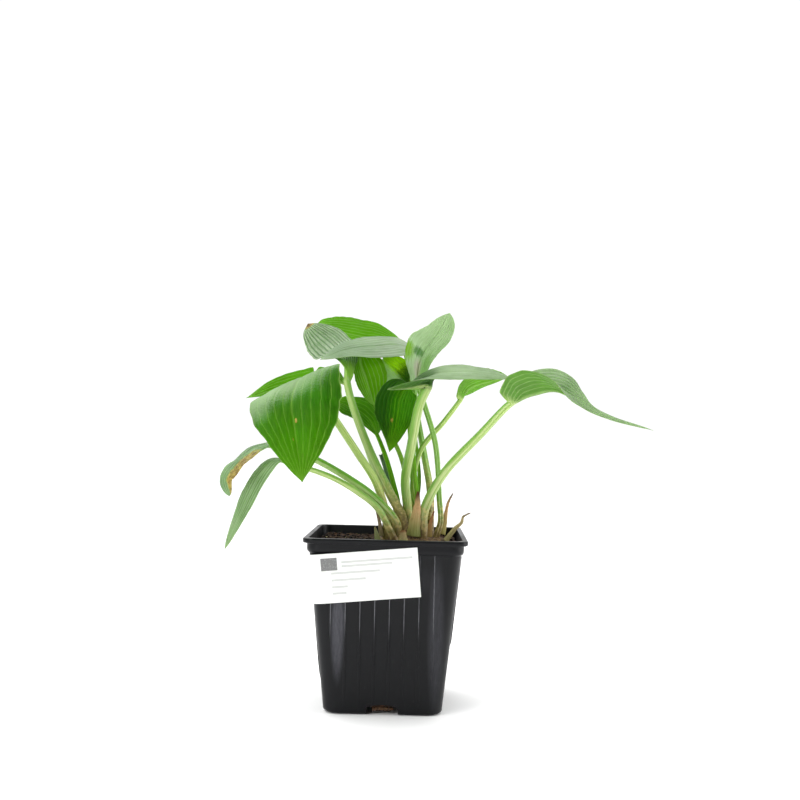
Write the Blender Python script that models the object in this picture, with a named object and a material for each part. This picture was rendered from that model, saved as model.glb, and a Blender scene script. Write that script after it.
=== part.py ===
"""Potted hosta: a young hosta clump in a square black nursery pot.

Origin: centre of the pot's base, on the surface it stands on. +Z is up, -Y is the front
(the side with the wrap-round label's long end), +X is to the right. Sizes below are in
millimetres and are turned into metres when an object is made.
"""
import math

import bmesh
import bpy
import numpy as np

MM = 0.001

# ---------------------------------------------------------------- driving dimensions, mm
POT_HEIGHT = 96.0
RIM_HALF = 45.0          # outer half width of the flange, so the pot is a 90 mm square
RIM_THICK = 2.7          # thickness of the flange
MOUTH_HALF = 42.0        # inner half width of the mouth
SKIRT_HALF = 43.0        # outer half width of the stacking skirt under the flange
SKIRT_DEPTH = 5.3        # height of that skirt below the flange
BASE_HALF = 32.8         # outer half width at the bottom
WALL_TOP_HALF = 41.8     # outer half width of the wall just under the skirt
WALL_THICK = 1.0
FLOOR_Z = 2.5            # underside of the raised floor
FLOOR_THICK = 1.2
PAD_HALF = 11.0          # the centre pad that touches the ground
CORNER_R = 8.0           # corner radius of the tapering wall
RIM_ROUND = 0.7          # rounding of the flange's edges
SKIRT_ROUND = 2.4        # height of the rounded lower edge of the skirt
RIM_CORNER_R = 6.0
DRAIN_HALF = 8.6         # half width of each arched drain notch
DRAIN_HEIGHT = 5.3
DRAIN_DEPTH = 7.0        # how far each notch reaches in from the wall

SOIL_LEVEL = 91.0
GAP = 0.3                # clearance kept between pieces that touch in the real plant

CROWN_CENTRE = (14.0, -3.0)
CROWN_HALF = (21.0, 19.0)
CROWN_RISE = 2.6

LABEL_LENGTH = 64.0
LABEL_HEIGHT = 27.0
LABEL_TILT = math.radians(5.5)     # the end that wraps the corner sits lower
LABEL_START = (20.0, 65.6)         # x and z of its lower right corner
LABEL_THICK = 0.25

BLADE_THICK = 0.9
PETIOLE_RINGS = 7
BLADE_RINGS = 12
BLADE_STRIPS = 3                   # strips on each side of the midrib

# ---------------------------------------------------------------- the leaves, mm and degrees
# petiole: the stalk's points from the crown up; midrib: the blade's points from base to tip.
# up: the way the blade's top faces, from base to tip. half: half widths left and right of
# the midrib. profile: how fast the outline widens and narrows. outline, instead of these two:
# half widths left and right at stated places from base (0) to tip (1). fold and curl: how far
# each half is folded up from flat and how much it bends on towards its edge, base to tip.
# lobe: how far the basal lobes reach back. r: petiole radius at the crown and at the blade.
LEAVES = {
    "leaf_front_left": dict(
        petiole=[(0, -9, 95.5), (-1, -11, 108), (-7, -15, 126), (-18, -20, 143), (-30, -27, 161)],
        midrib=[(-41, -36, 179), (-46, -44, 183), (-49, -54, 178), (-50, -64, 168),
                (-47, -71, 154), (-42, -75, 127.5)],
        up=[(-0.5, -0.2, 1), (-0.55, -0.6, 0.8), (-0.2, -1, 0.2), (0, -1, 0.1), (0, -1, 0.1)],
        outline=[(0, 1.9, 1.9), (0.04, 15, 10), (0.1, 21.5, 20), (0.2, 24.8, 25.5), (0.3, 26.5, 26),
                 (0.4, 27, 24.5), (0.5, 26.4, 22.2), (0.6, 24, 19.2), (0.7, 19.6, 15.6),
                 (0.8, 13.8, 11.2), (0.9, 7.2, 6.2), (1, 0, 0)],
        r=(2.6, 1.9), fold=((7, 5, 12), (0, 14, 12)), curl=((-10, -28, -20), (-18, -20, -18))),
    "leaf_left_low": dict(
        petiole=[(4, -1, 95.5), (-1, 3, 109), (-6, 6, 125), (-17, 7, 154), (-24, 8, 176)],
        midrib=[(-27, 7, 183), (-39, -2, 185), (-52, -9, 181), (-69, -14, 177), (-82, -18, 172)],
        up=[(0.3, 0.3, 1), (0, 0.4, 1), (0, 0.5, 1), (0, 0.2, 1)],
        outline=[(0, 1.2, 1.2), (0.05, 3.5, 6), (0.1, 6, 8.5), (0.15, 9, 10.2), (0.2, 11.8, 11.4),
                 (0.3, 14.2, 12.7), (0.4, 15, 13), (0.5, 14.6, 12.6), (0.6, 13.2, 11.6),
                 (0.7, 11.2, 9.8), (0.8, 8.4, 7.4), (0.9, 5, 4.4), (1, 0, 0)],
        r=(1.9, 1.3),
        fold=((22,), (10,)), curl=((-25,), (-25,))),
    "leaf_top_front": dict(
        petiole=[(25, 8, 95.5), (25, 11, 119), (21, 13, 141), (16, 16, 167), (14, 18, 186)],
        midrib=[(15, 20, 200), (7, 16, 207), (-7, 9, 206), (-26, 2, 203), (-42, -3, 196)],
        up=[(0, -0.4, 1), (0, -0.5, 0.85), (0, -0.5, 0.85), (0, -0.3, 0.9)],
        outline=[(0, 1.5, 1.5), (0.02, 8, 10), (0.06, 12.5, 15), (0.12, 15, 16.8),
                 (0.2, 16.3, 16.8), (0.35, 16.3, 16), (0.5, 15.4, 15), (0.65, 13.2, 12.8),
                 (0.8, 9.4, 9.2), (0.92, 4.6, 4.6), (1, 0, 0)],
        r=(2.6, 1.4), fold=((5,), (5,)), curl=((-12,), (-12,))),
    "leaf_top_left": dict(
        petiole=[(11, -8, 95.5), (9, -8, 106), (1, -9, 121), (-11, -11, 145), (-21, -11, 170)],
        midrib=[(-24.5, -8, 182), (-26, 0, 193), (-30, 12, 202), (-39, 24, 211), (-54, 36, 222)],
        up=[(1, 0, 0.3), (0.4, -0.5, 0.8), (0, -0.8, 0.65), (-0.1, -0.8, 0.65), (-0.3, -0.7, 0.7)],
        outline=[(0, 2.4, 2.4), (0.1, 4.4, 3.8), (0.2, 6.8, 5), (0.3, 9.8, 7.2), (0.4, 13, 9),
                 (0.5, 15.4, 10.2), (0.6, 16.2, 10.8), (0.7, 15.4, 10.8), (0.8, 13.4, 9.8),
                 (0.9, 9.8, 7.4), (0.96, 6, 4.6), (1, 0, 0)],
        r=(3.4, 2.4), fold=((25, 5, -5, -5, -5), (25, 15, 10, 5, 0)), curl=((0, -5, -10), (0, -15, -30))),
    "leaf_top_back": dict(
        petiole=[(18, 14, 95.5), (16, 16, 107), (14, 24, 132), (11, 32, 169), (10, 37, 194)],
        midrib=[(6, 40, 208), (-5, 45, 214), (-22, 51, 217), (-39, 57, 221), (-51, 62, 224)],
        up=[(0, 0.5, 0.85)],
        half=(18.5, 18), profile=(0.6, 0.75), r=(1.9, 1.3),
        fold=((0, 5, 10), (5,)), curl=((0, -10, -10), (-20,))),
    "leaf_upright_right": dict(
        petiole=[(29, 0, 95.5), (31, 1, 103), (30, 2, 116), (27, 0, 148), (20, -2, 171)],
        midrib=[(16, -4, 183), (16, -5, 193), (20, -3, 203), (27, 1, 213), (34, 5, 226.3)],
        up=[(0.3, -1, 0.2), (0.3, -1, 0.2), (0, -1, 0.2), (-0.2, -1, 0.4)],
        outline=[(0, 1.6, 1.6), (0.05, 5, 4.4), (0.15, 8.6, 6), (0.25, 11.2, 6.6), (0.35, 12.6, 7.2),
                 (0.45, 12.4, 7.6), (0.55, 10.9, 8.2), (0.7, 8.4, 8.6), (0.8, 6.8, 7.8),
                 (0.9, 4.4, 5.8), (0.96, 2.2, 3.2), (1, 0, 0)],
        r=(1.9, 1.3), fold=((50, 15, 10), (50, 25, 5)), curl=((-15,), (-20,))),
    "leaf_inner_back": dict(
        petiole=[(11, 15, 95.5), (10, 17, 117), (8, 18, 136), (-1, 16, 156), (-15, 14, 182)],
        midrib=[(-19, 10, 200.5), (-18, 6, 195), (-15, 1, 187), (-12, 0, 178.5), (-9.5, 0, 170.5)],
        up=[(0.2, 1, 0.4), (0.2, 1, 0.1)],
        half=(7, 13.5), profile=(0.5, 0.6), r=(1.8, 1.0),
        fold=((10,), (10,)), curl=((-20,), (-20,))),
    "leaf_centre_hanging": dict(
        petiole=[(18.6, -1.6, 95.5), (18.4, 0.4, 107), (16.6, 1.2, 123), (14.2, -1.6, 146), (15, -6, 169)],
        midrib=[(13, -7, 178), (10, -10, 181), (6, -12, 175), (4, -13, 161), (0.4, -13, 143)],
        up=[(0.2, -0.3, 1), (0.2, -1, 0.4), (0.1, -1, 0.1), (0, -1, 0)],
        outline=[(0, 1.2, 1.2), (0.05, 4.5, 6), (0.1, 6.6, 9), (0.2, 9, 11.8), (0.3, 10, 13),
                 (0.4, 10, 13.6), (0.5, 9.4, 13.4), (0.6, 8.2, 12), (0.7, 6.6, 9.2),
                 (0.8, 4.8, 5.8), (0.9, 2.8, 2.8), (1, 0, 0)],
        r=(1.7, 1.1), fold=((8,), (8,)), curl=((-20,), (-25,))),
    "leaf_young_cupped": dict(
        petiole=[(14.5, 10.5, 95.5), (16.5, 12, 109), (18.4, 13, 126), (16, 12, 148), (13, 10, 172)],
        midrib=[(11, 9, 184), (7, 7, 187.5), (2.5, 5.5, 191.5), (-1.5, 4.5, 195), (-5, 4.5, 199)],
        up=[(0.3, -0.2, 1), (0.2, -0.3, 1)],
        outline=[(0, 1.1, 1.1), (0.08, 5, 6), (0.18, 7.5, 9), (0.35, 9, 10.5), (0.6, 8.5, 9.5),
                 (0.8, 6, 6.5), (0.93, 3, 3.2), (1, 0, 0)],
        r=(1.4, 1.0), fold=((-48,), (58,)), curl=((-25,), (-10,))),
    "leaf_inner_low": dict(
        petiole=[(5, 7, 95.5), (6, 9, 110), (3, 11, 123), (-2, 14, 139)],
        midrib=[(-8, 18, 153), (-13, 20, 162), (-19, 22, 167), (-26, 24, 170), (-34, 26, 173)],
        up=[(0.3, -0.5, 1), (0, -0.6, 1), (0, -0.6, 1)],
        half=(11, 13), profile=(0.7, 0.45), r=(2.0, 1.3),
        fold=((10,), (10,)), curl=((-10,), (-10,))),
    "leaf_right_near": dict(
        petiole=[(12.4, -0.5, 95.5), (10.5, -3.4, 112), (9, -6, 127), (12.2, -14, 147), (16.2, -19, 170)],
        midrib=[(20.4, -21, 180), (24, -21, 187), (35, -22, 189), (51, -24, 189), (69, -25, 186)],
        up=[(-0.5, -0.2, 1), (-0.1, -0.3, 1), (0, -0.35, 1)],
        outline=[(0, 2.5, 2.5), (0.05, 5.5, 8), (0.1, 8.5, 10.5), (0.15, 10.8, 11.8),
                 (0.25, 13.2, 12.5), (0.4, 13.5, 12.3), (0.6, 11.8, 10.6), (0.8, 8, 7.2),
                 (0.92, 4, 3.6), (1, 0, 0)],
        lobe=(12, 32), r=(3.1, 3.0),
        fold=((-2, 11, 9, 7, 5), (2, -4, -3)), curl=((0, -10, -10), (0, -12, -10))),
    "leaf_right_back": dict(
        petiole=[(20, 4, 95.5), (18, 6.4, 107), (14, 7, 122), (18, 6, 144), (32, 13, 162)],
        midrib=[(41.5, 21, 175), (46, 26, 182), (53, 33, 186), (63, 41, 189), (74, 48, 192)],
        up=[(-0.5, 0.6, 0.8), (0, 0.5, 0.9)],
        half=(12.5, 13), profile=(0.62, 1.0), lobe=(1, 4), r=(2.0, 1.5),
        fold=((15,), (20,)), curl=((-20,), (-20,))),
    "leaf_right_long": dict(
        petiole=[(20, -8, 95.5), (20, -9, 107), (23, -11, 117), (32, -15, 133), (51.5, -24, 155)],
        midrib=[(67, -31.5, 172), (72, -33, 174.8), (80, -35, 178), (91, -40, 179.6), (101, -44, 175),
                (111, -48, 168), (140, -57, 158)],
        up=[(-0.3, 0, 1), (0, -0.1, 1), (0.1, -0.3, 1), (0.3, -0.4, 0.9), (0.3, -0.4, 0.9),
            (0.3, -0.4, 0.9)],
        outline=[(0, 2, 2), (0.03, 4.6, 5), (0.07, 9, 10), (0.13, 14, 15.4), (0.2, 16.3, 17.4),
                 (0.3, 15.8, 16.8), (0.4, 12.8, 13.6), (0.48, 8.6, 9.2), (0.55, 5.2, 5.6),
                 (0.62, 4, 4.3), (0.75, 3.2, 3.4), (0.9, 1.5, 1.6), (1, 0, 0)],
        lobe=(5, 11), r=(3.2, 2.2),
        fold=((52, 48, 20, 0, -5), (56, 42, 4, -8, -5)), curl=((0, -20, -20), (0, -10, -10))),
    "leaf_damaged_left": dict(
        petiole=[(6, -13, 95.5), (6, -15, 103), (-6, -20, 117), (-21, -26, 128), (-43, -33, 140)],
        midrib=[(-64, -38, 146), (-72, -41, 144), (-81, -45, 136), (-87, -47, 127),
                (-84, -48, 118)],
        up=[(-0.3, -0.3, 1), (-0.8, -0.5, 0.3), (-0.6, -0.8, 0)],
        half=(9, 8), profile=(0.4, 0.6), r=(2.7, 1.8),
        fold=((5,), (5,)), curl=((-20,), (-20,))),
    "leaf_narrow_left": dict(
        petiole=[(4, -19, 95.5), (-5, -25, 112), (-16, -30, 121), (-29, -34, 128.5), (-41, -38, 133)],
        midrib=[(-52, -40, 136), (-60, -43, 138), (-67, -46, 131.5), (-75, -50, 115),
                (-85, -52, 90)],
        up=[(0, 0, 1), (-0.7, -0.8, 0.4), (-0.7, -0.9, 0.1)],
        half=(7.2, 8.4), profile=(0.3, 0.8), r=(2.1, 1.6),
        fold=((5,), (5,)), curl=((-20,), (-20,))),
}

# Dry sheaths and scales: points from base to tip, the way the outside faces, the half width
# at the base and at the tip, and how far round the stalk it wraps, in degrees.
SHEATHS = {
    "sheath_centre": dict(line=[(15, -14.2, 95.4), (15.8, -13.9, 104), (17, -13.2, 113), (17.3, -12.7, 121)],
                          out=(-0.1, -1, 0), half=(4.9, 0.6), wrap=58),
    "sheath_left": dict(line=[(-4.4, -9.2, 95.4), (-5.2, -10.4, 102), (-6.6, -12, 109)],
                        out=(-1, -0.1, 0.1), half=(5.0, 1.6), wrap=65),
    "sheath_front_low": dict(line=[(9.5, -24, 92.8), (9.4, -23, 96), (9.2, -22.4, 99.5)],
                             out=(0, -1, 0.1), half=(3.4, 1.4), wrap=60),
    "scale_left_pale": dict(line=[(-5, -15.5, 92.6), (-5.8, -16, 96), (-6.8, -16.6, 100.5)],
                            out=(-0.4, -1, 0.2), half=(2.0, 0.4), wrap=30),
    "sheath_right": dict(line=[(33, 0, 95.4), (34, 2, 102), (34.6, 3.5, 109), (36, 4, 115), (38.2, 4, 119.5)],
                         out=(0.6, -0.8, 0), half=(2.4, 0.4), wrap=70),
    "sheath_red": dict(line=[(24.6, -13.4, 95.2), (24.9, -13.8, 103), (26.6, -14.4, 110)],
                       out=(0.2, -1, 0), half=(1.7, 0.4), wrap=50),
    "dry_leaf_right": dict(line=[(33.5, -9, 92.8), (39, -9, 100), (42.6, -9, 103.5), (43.6, -9, 106.8),
                                 (47.8, -9, 109.2)],
                           out=(-0.4, -1, 0.4), half=(1.9, 0.3), wrap=40),
}
SHEATH_THICK = 0.6

STUB_LINE = [(4, 13, 95.5), (4, 14, 110), (0, 16, 124), (-3, 17, 134), (-5.5, 17, 141)]
STUB_R = (1.5, 1.0)
ROOT_LINE = [(-5.5, -30.2, 2.2), (-2, -29.4, 2.5), (2.5, -29.9, 2.4), (5.8, -29.0, 2.2)]
ROOT_R = (1.2, 0.8)

# sRGB-looking colours turned into the linear values that Blender wants
COLOURS = {
    "pot": ((0.020, 0.020, 0.022), 0.45),
    "soil": ((0.016, 0.010, 0.006), 0.95),
    "label": ((0.90, 0.91, 0.90), 0.50),
    "crown": ((0.24, 0.15, 0.07), 0.85),
    "leaf": ((0.060, 0.190, 0.015), 0.42),
    "sheath": ((0.42, 0.28, 0.14), 0.80),
    "stub": ((0.030, 0.075, 0.030), 0.60),
    "root": ((0.38, 0.27, 0.16), 0.80),
}


# ---------------------------------------------------------------- curves and profiles
def smooth_line(points, count):
    """Centripetal Catmull-Rom curve through the points, read at count + 1 even steps."""
    p = np.asarray(points, float)
    p = np.vstack([2 * p[0] - p[1], p, 2 * p[-1] - p[-2]])
    pieces = []
    for i in range(1, len(p) - 2):
        p0, p1, p2, p3 = p[i - 1:i + 3]
        t0 = 0.0
        t1 = t0 + math.sqrt(np.linalg.norm(p1 - p0))
        t2 = t1 + math.sqrt(np.linalg.norm(p2 - p1))
        t3 = t2 + math.sqrt(np.linalg.norm(p3 - p2))
        t = np.linspace(t1, t2, 24, endpoint=False)[:, None]
        a1 = (t1 - t) / (t1 - t0) * p0 + (t - t0) / (t1 - t0) * p1
        a2 = (t2 - t) / (t2 - t1) * p1 + (t - t1) / (t2 - t1) * p2
        a3 = (t3 - t) / (t3 - t2) * p2 + (t - t2) / (t3 - t2) * p3
        b1 = (t2 - t) / (t2 - t0) * a1 + (t - t0) / (t2 - t0) * a2
        b2 = (t3 - t) / (t3 - t1) * a2 + (t - t1) / (t3 - t1) * a3
        pieces.append((t2 - t) / (t2 - t1) * b1 + (t - t1) / (t2 - t1) * b2)
    curve = np.vstack(pieces + [p[-2][None]])
    length = np.r_[0, np.cumsum(np.linalg.norm(np.diff(curve, axis=0), axis=1))]
    steps = np.linspace(0, length[-1], count + 1)
    return np.stack([np.interp(steps, length, curve[:, k]) for k in range(3)], axis=1)


def along(values, t):
    """Values stated evenly from base to tip, read at the places t (0 to 1)."""
    v = np.asarray(values, float)
    knots = np.linspace(0, 1, len(v))
    if len(v) == 1:
        return np.broadcast_to(v[0], (len(t),) + v[0].shape).copy()
    if v.ndim == 1:
        return np.interp(t, knots, v)
    return np.stack([np.interp(t, knots, v[:, i]) for i in range(v.shape[1])], axis=1)


def blade_width(t, rise, fall):
    """Outline of a blade from base to tip, 1 at its widest."""
    peak = rise / (rise + fall)
    return t ** rise * (1 - t) ** fall / (peak ** rise * (1 - peak) ** fall)


def half_widths(leaf, t):
    """How wide the blade is at t, 1 at its widest, and its half widths left and right."""
    if "outline" not in leaf:
        width = blade_width(t, *leaf["profile"])
        return width, (leaf["half"][0] * width, leaf["half"][1] * width)
    rows = np.array(leaf["outline"], float)
    halves = []
    for k in (1, 2):
        curve = smooth_line(np.c_[rows[:, 0] * 50, rows[:, k], rows[:, 0] * 0], 300)
        halves.append(np.interp(t, curve[:, 0] / 50, curve[:, 1]))
    return np.maximum(*halves) / rows[:, 1:].max(), halves


def ease(x):
    """Smooth step from 0 to 1."""
    x = np.clip(x, 0, 1)
    return x * x * (3 - 2 * x)


def unit(v):
    """Vectors scaled to length 1."""
    return v / np.linalg.norm(v, axis=-1, keepdims=True)


# ---------------------------------------------------------------- a leaf
def leaf_surface(leaf, petiole_rings, blade_rings, strips):
    """Middle surface of one leaf as rows of points, with each row's place and directions."""
    path = smooth_line(leaf["petiole"] + leaf["midrib"], 400)
    joint = np.argmin(np.linalg.norm(path - np.asarray(leaf["midrib"][0], float), axis=1))
    run = np.r_[0, np.cumsum(np.linalg.norm(np.diff(path, axis=0), axis=1))]
    stalk, total = run[joint], run[-1]
    rows = np.r_[np.linspace(0, stalk, petiole_rings + 1)[:-1], np.linspace(stalk, total, blade_rings + 1)]
    centre = np.stack([np.interp(rows, run, path[:, k]) for k in range(3)], axis=1)
    slope = unit(np.gradient(path, axis=0))
    ahead = unit(np.stack([np.interp(rows, run, slope[:, k]) for k in range(3)], axis=1))
    t = np.clip((rows - stalk) / (total - stalk), 0, 1)
    q = np.clip(rows / stalk, 0, 1)

    up = along(leaf["up"], t)
    up = unit(up - (up * ahead).sum(1)[:, None] * ahead)
    for i in range(petiole_rings - 1, -1, -1):
        up[i] = unit(up[i + 1] - np.dot(up[i + 1], ahead[i]) * ahead[i])
    right = np.cross(ahead, up)

    r_low, r_top = leaf["r"]
    radius = r_low + (r_top - r_low) * q
    width, halves = half_widths(leaf, t)
    spread = ease(t / 0.12)
    chord = unit(np.subtract(leaf["midrib"][-1], leaf["midrib"][0]).astype(float))
    surface = np.zeros((len(rows), 2 * strips + 1, 3))
    surface[:, strips] = centre
    for k, side in enumerate((-1, 1)):
        half = np.maximum(radius * 0.95 * np.sqrt(1 - t), halves[k])
        half = np.maximum(half, 0.25)
        fold = np.radians(along(leaf["fold"][k], t)) * spread
        curl = np.radians(along(leaf["curl"][k], t)) * spread
        back = leaf.get("lobe", (0, 0))[k] * np.clip(1 - t / 0.35, 0, 1) ** 2
        back = back * np.minimum(1, 3 * (width - width[0]))
        edge = centre.copy()
        for j in range(1, strips + 1):
            angle = fold + curl * (j - 0.5) / strips
            step = side * np.cos(angle)[:, None] * right + np.sin(angle)[:, None] * up
            edge = edge + (half / strips)[:, None] * step
            shift = (back * (j / strips) ** 1.5)[:, None] * chord
            surface[:, strips + side * j] = edge - shift
    return surface, up, t, radius


def leaf_rings(leaf, petiole_rings=PETIOLE_RINGS, blade_rings=BLADE_RINGS, strips=BLADE_STRIPS):
    """Closed cross-sections of one leaf, from the crown end of the petiole to the tip."""
    surface, up, t, radius = leaf_surface(leaf, petiole_rings, blade_rings, strips)
    normal = -np.cross(np.gradient(surface, axis=0), np.gradient(surface, axis=1))
    size = np.linalg.norm(normal, axis=2, keepdims=True)
    normal = np.where(size > 1e-6, normal / np.maximum(size, 1e-9), up[:, None])
    normal[t <= 0] = up[t <= 0][:, None]

    s = np.linspace(-1, 1, 2 * strips + 1)
    bulge = np.sqrt(1 - s ** 2)
    flat = ease(t / 0.10)[:, None]
    rib = (np.clip(1 - t, 0, 1) ** 0.7 * radius)[:, None] * np.exp(-(s / 0.16) ** 2)
    skin = BLADE_THICK * (0.35 + 0.65 * bulge) / 2
    above = (1 - flat) * radius[:, None] * (0.75 * bulge - 0.25 * np.exp(-(s / 0.35) ** 2)) + flat * skin
    below = (1 - flat) * radius[:, None] * 1.1 * bulge + flat * (skin + rib)
    thin = np.clip((1 - t) / 0.06, 0.35, 1)[:, None]
    top = surface + normal * (above * thin)[:, :, None]
    bottom = surface - normal * (below * thin)[:, :, None]
    return np.concatenate([surface[:, :1], top[:, 1:-1], surface[:, -1:], bottom[:, -2:0:-1]], axis=1)


def sheath_rings(sheath, rows=8, strips=3):
    """Closed cross-sections of a dry sheath: a thin strip wrapped part of the way round."""
    line = smooth_line(sheath["line"], rows)
    ahead = unit(np.gradient(line, axis=0))
    out = np.broadcast_to(np.asarray(sheath["out"], float), line.shape)
    out = unit(out - (out * ahead).sum(1)[:, None] * ahead)
    right = np.cross(ahead, out)
    t = np.linspace(0, 1, rows + 1)
    half = sheath["half"][1] + (sheath["half"][0] - sheath["half"][1]) * (1 - t) ** 0.8
    wrap = math.radians(sheath["wrap"])
    bend = half / wrap
    s = np.linspace(-1, 1, 2 * strips + 1)
    across = bend[:, None] * np.sin(wrap * s)[None, :]
    back = bend[:, None] * (1 - np.cos(wrap * s))[None, :]
    middle = line[:, None] + across[..., None] * right[:, None] - back[..., None] * out[:, None]
    facing = np.cos(wrap * s)[None, :, None] * out[:, None] + np.sin(wrap * s)[None, :, None] * right[:, None]
    thick = SHEATH_THICK / 2 * (0.5 + 0.5 * (1 - t))[:, None, None] * np.sqrt(1 - 0.7 * s ** 2)[None, :, None]
    outer = middle + facing * thick
    inner = middle - facing * thick
    return np.concatenate([outer, inner[:, ::-1]], axis=1)


def tube_rings(line, radii, rows, sides=8):
    """Round cross-sections of a stalk or root that tapers from radii[0] to radii[1]."""
    centre = smooth_line(line, rows)
    ahead = unit(np.gradient(centre, axis=0))
    guide = np.array([0.2, 1.0, 0.1])
    side = unit(np.cross(ahead, guide))
    other = np.cross(ahead, side)
    radius = np.linspace(radii[0], radii[1], rows + 1)
    angle = np.linspace(0, 2 * math.pi, sides, endpoint=False)
    ring = np.cos(angle)[None, :, None] * side[:, None] + np.sin(angle)[None, :, None] * other[:, None]
    return centre[:, None] + radius[:, None, None] * ring


# ---------------------------------------------------------------- the pot and what it holds
def rounded_square(half, corner, z, per_corner=7):
    """A square ring with round corners, counter-clockwise, per_corner points on each corner."""
    points = []
    for quarter in range(4):
        turn = quarter * math.pi / 2
        middle = half - corner
        for k in range(per_corner):
            a = math.pi / 2 * k / (per_corner - 1)
            x, y = middle + corner * math.cos(a), middle + corner * math.sin(a)
            points.append((x * math.cos(turn) - y * math.sin(turn),
                           x * math.sin(turn) + y * math.cos(turn), z))
    return points


def wall_half(z):
    """Outer half width of the tapering wall at height z."""
    return BASE_HALF + (WALL_TOP_HALF - BASE_HALF) * z / (POT_HEIGHT - RIM_THICK - SKIRT_DEPTH)


def pot_rings():
    """The pot's skin from the pad under its floor, round the rim and down inside."""
    lip = POT_HEIGHT - RIM_THICK
    skirt = lip - SKIRT_DEPTH
    floor_top = FLOOR_Z + FLOOR_THICK
    step = skirt - 1.0
    inner_r = CORNER_R - WALL_THICK
    return [
        rounded_square(PAD_HALF, 5.0, 0.0),
        rounded_square(PAD_HALF + 0.6, 5.0, FLOOR_Z),
        rounded_square(BASE_HALF - 3.0, 6.0, FLOOR_Z),
        rounded_square(BASE_HALF - 1.6, CORNER_R - 1.6, 0.0),
        rounded_square(BASE_HALF - 0.5, CORNER_R, 0.0),
        rounded_square(wall_half(1.2), CORNER_R, 1.2),
        rounded_square(wall_half(skirt), CORNER_R, skirt),
        rounded_square(SKIRT_HALF - 0.9, CORNER_R - 1, skirt),
        rounded_square(SKIRT_HALF - 0.3, CORNER_R - 1, skirt + 0.35 * SKIRT_ROUND),
        rounded_square(SKIRT_HALF, CORNER_R - 1, skirt + SKIRT_ROUND),
        rounded_square(SKIRT_HALF, CORNER_R - 1, lip),
        rounded_square(RIM_HALF - RIM_ROUND, RIM_CORNER_R, lip),
        rounded_square(RIM_HALF, RIM_CORNER_R, lip + RIM_ROUND),
        rounded_square(RIM_HALF, RIM_CORNER_R, POT_HEIGHT - RIM_ROUND),
        rounded_square(RIM_HALF - RIM_ROUND, RIM_CORNER_R - RIM_ROUND, POT_HEIGHT),
        rounded_square(MOUTH_HALF, inner_r - 1, POT_HEIGHT),
        rounded_square(MOUTH_HALF - 0.3, inner_r - 1, step + 1),
        rounded_square(wall_half(step) - WALL_THICK, inner_r, step),
        rounded_square(wall_half(floor_top) - WALL_THICK, inner_r, floor_top),
    ]


def drain_cutter(name, turn):
    """An arched block that cuts one drain notch through the foot of the wall and the floor."""
    arch = [(-DRAIN_HALF, -1.0)]
    spring = DRAIN_HEIGHT - 2.5
    for k in range(9):
        a = math.pi - math.pi * k / 8
        arch.append((DRAIN_HALF * math.cos(a), spring + 2.5 * math.sin(a)))
    arch.append((DRAIN_HALF, -1.0))
    near, far = -BASE_HALF - 2.0, -BASE_HALF + DRAIN_DEPTH
    cos, sin = math.cos(turn), math.sin(turn)
    rings = [[(x * cos - y * sin, x * sin + y * cos, z) for x, z in arch] for y in (near, far)]
    cutter = skin_object(name, np.array(rings), COLOURS["pot"])
    cutter.hide_render = True
    cutter.display_type = "WIRE"
    return cutter


def crown_reach(x, y):
    """0 at the middle of the crown, 1 at its rim."""
    return math.hypot((x - CROWN_CENTRE[0]) / CROWN_HALF[0], (y - CROWN_CENTRE[1]) / CROWN_HALF[1])


def soil_height(x, y):
    """Top of the potting soil: lumpy, but level under and close round the crown."""
    lumps = math.sin(x * 0.41 + 1.3) * math.cos(y * 0.37 + 0.4) + 0.5 * math.sin(x * 0.83 + y * 0.71)
    clear = ease(np.array((crown_reach(x, y) - 1.15) / 0.35))
    return SOIL_LEVEL + 0.8 * lumps * float(clear) - 0.6 * float(clear)


def soil_rings():
    """The root ball of soil: sides that follow the pot's wall, a lumpy top."""
    rings = []
    bottom = FLOOR_Z + FLOOR_THICK + GAP
    corner = CORNER_R - WALL_THICK - GAP
    for z in (bottom, SOIL_LEVEL - 5.0):
        rings.append(rounded_square(wall_half(z) - WALL_THICK - GAP, corner, z))
    edge = wall_half(SOIL_LEVEL - 5.0) - WALL_THICK - GAP
    for scale in (1.0, 0.9, 0.78, 0.66, 0.54, 0.42, 0.3, 0.15):
        flat = rounded_square(edge * scale, max(corner * scale, 0.5), 0.0)
        rings.append([(x, y, soil_height(x, y)) for x, y, _ in flat])
    return rings


def crown_rings():
    """The low lumpy crown that the stalks rise from."""
    rings = []
    for level, scale in ((0, 0.12), (0, 0.6), (0, 0.96), (1, 1.0), (2, 0.94), (2, 0.75), (2, 0.5), (2, 0.2)):
        ring = []
        for k in range(24):
            a = 2 * math.pi * k / 24
            reach = scale * (1 + 0.05 * math.sin(3 * a + 1) + 0.03 * math.sin(5 * a))
            x = CROWN_CENTRE[0] + CROWN_HALF[0] * reach * math.cos(a)
            y = CROWN_CENTRE[1] + CROWN_HALF[1] * reach * math.sin(a)
            low = SOIL_LEVEL + GAP
            dome = low + 0.7 + (CROWN_RISE - 0.7) * math.sqrt(max(0.0, 1 - scale ** 2))
            ring.append((x, y, (low, low + 0.35, dome)[level]))
        rings.append(ring)
    return rings


def label_half(z):
    """Half width of the surface that the label lies on: the skirt, then a slope to the wall."""
    skirt = POT_HEIGHT - RIM_THICK - SKIRT_DEPTH
    on_skirt = SKIRT_HALF + GAP + 0.05
    foot_z = 58.0
    on_wall = wall_half(foot_z) + 0.9
    if z >= skirt:
        return on_skirt
    return on_wall + (on_skirt - on_wall) * (z - foot_z) / (skirt - foot_z)


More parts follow.
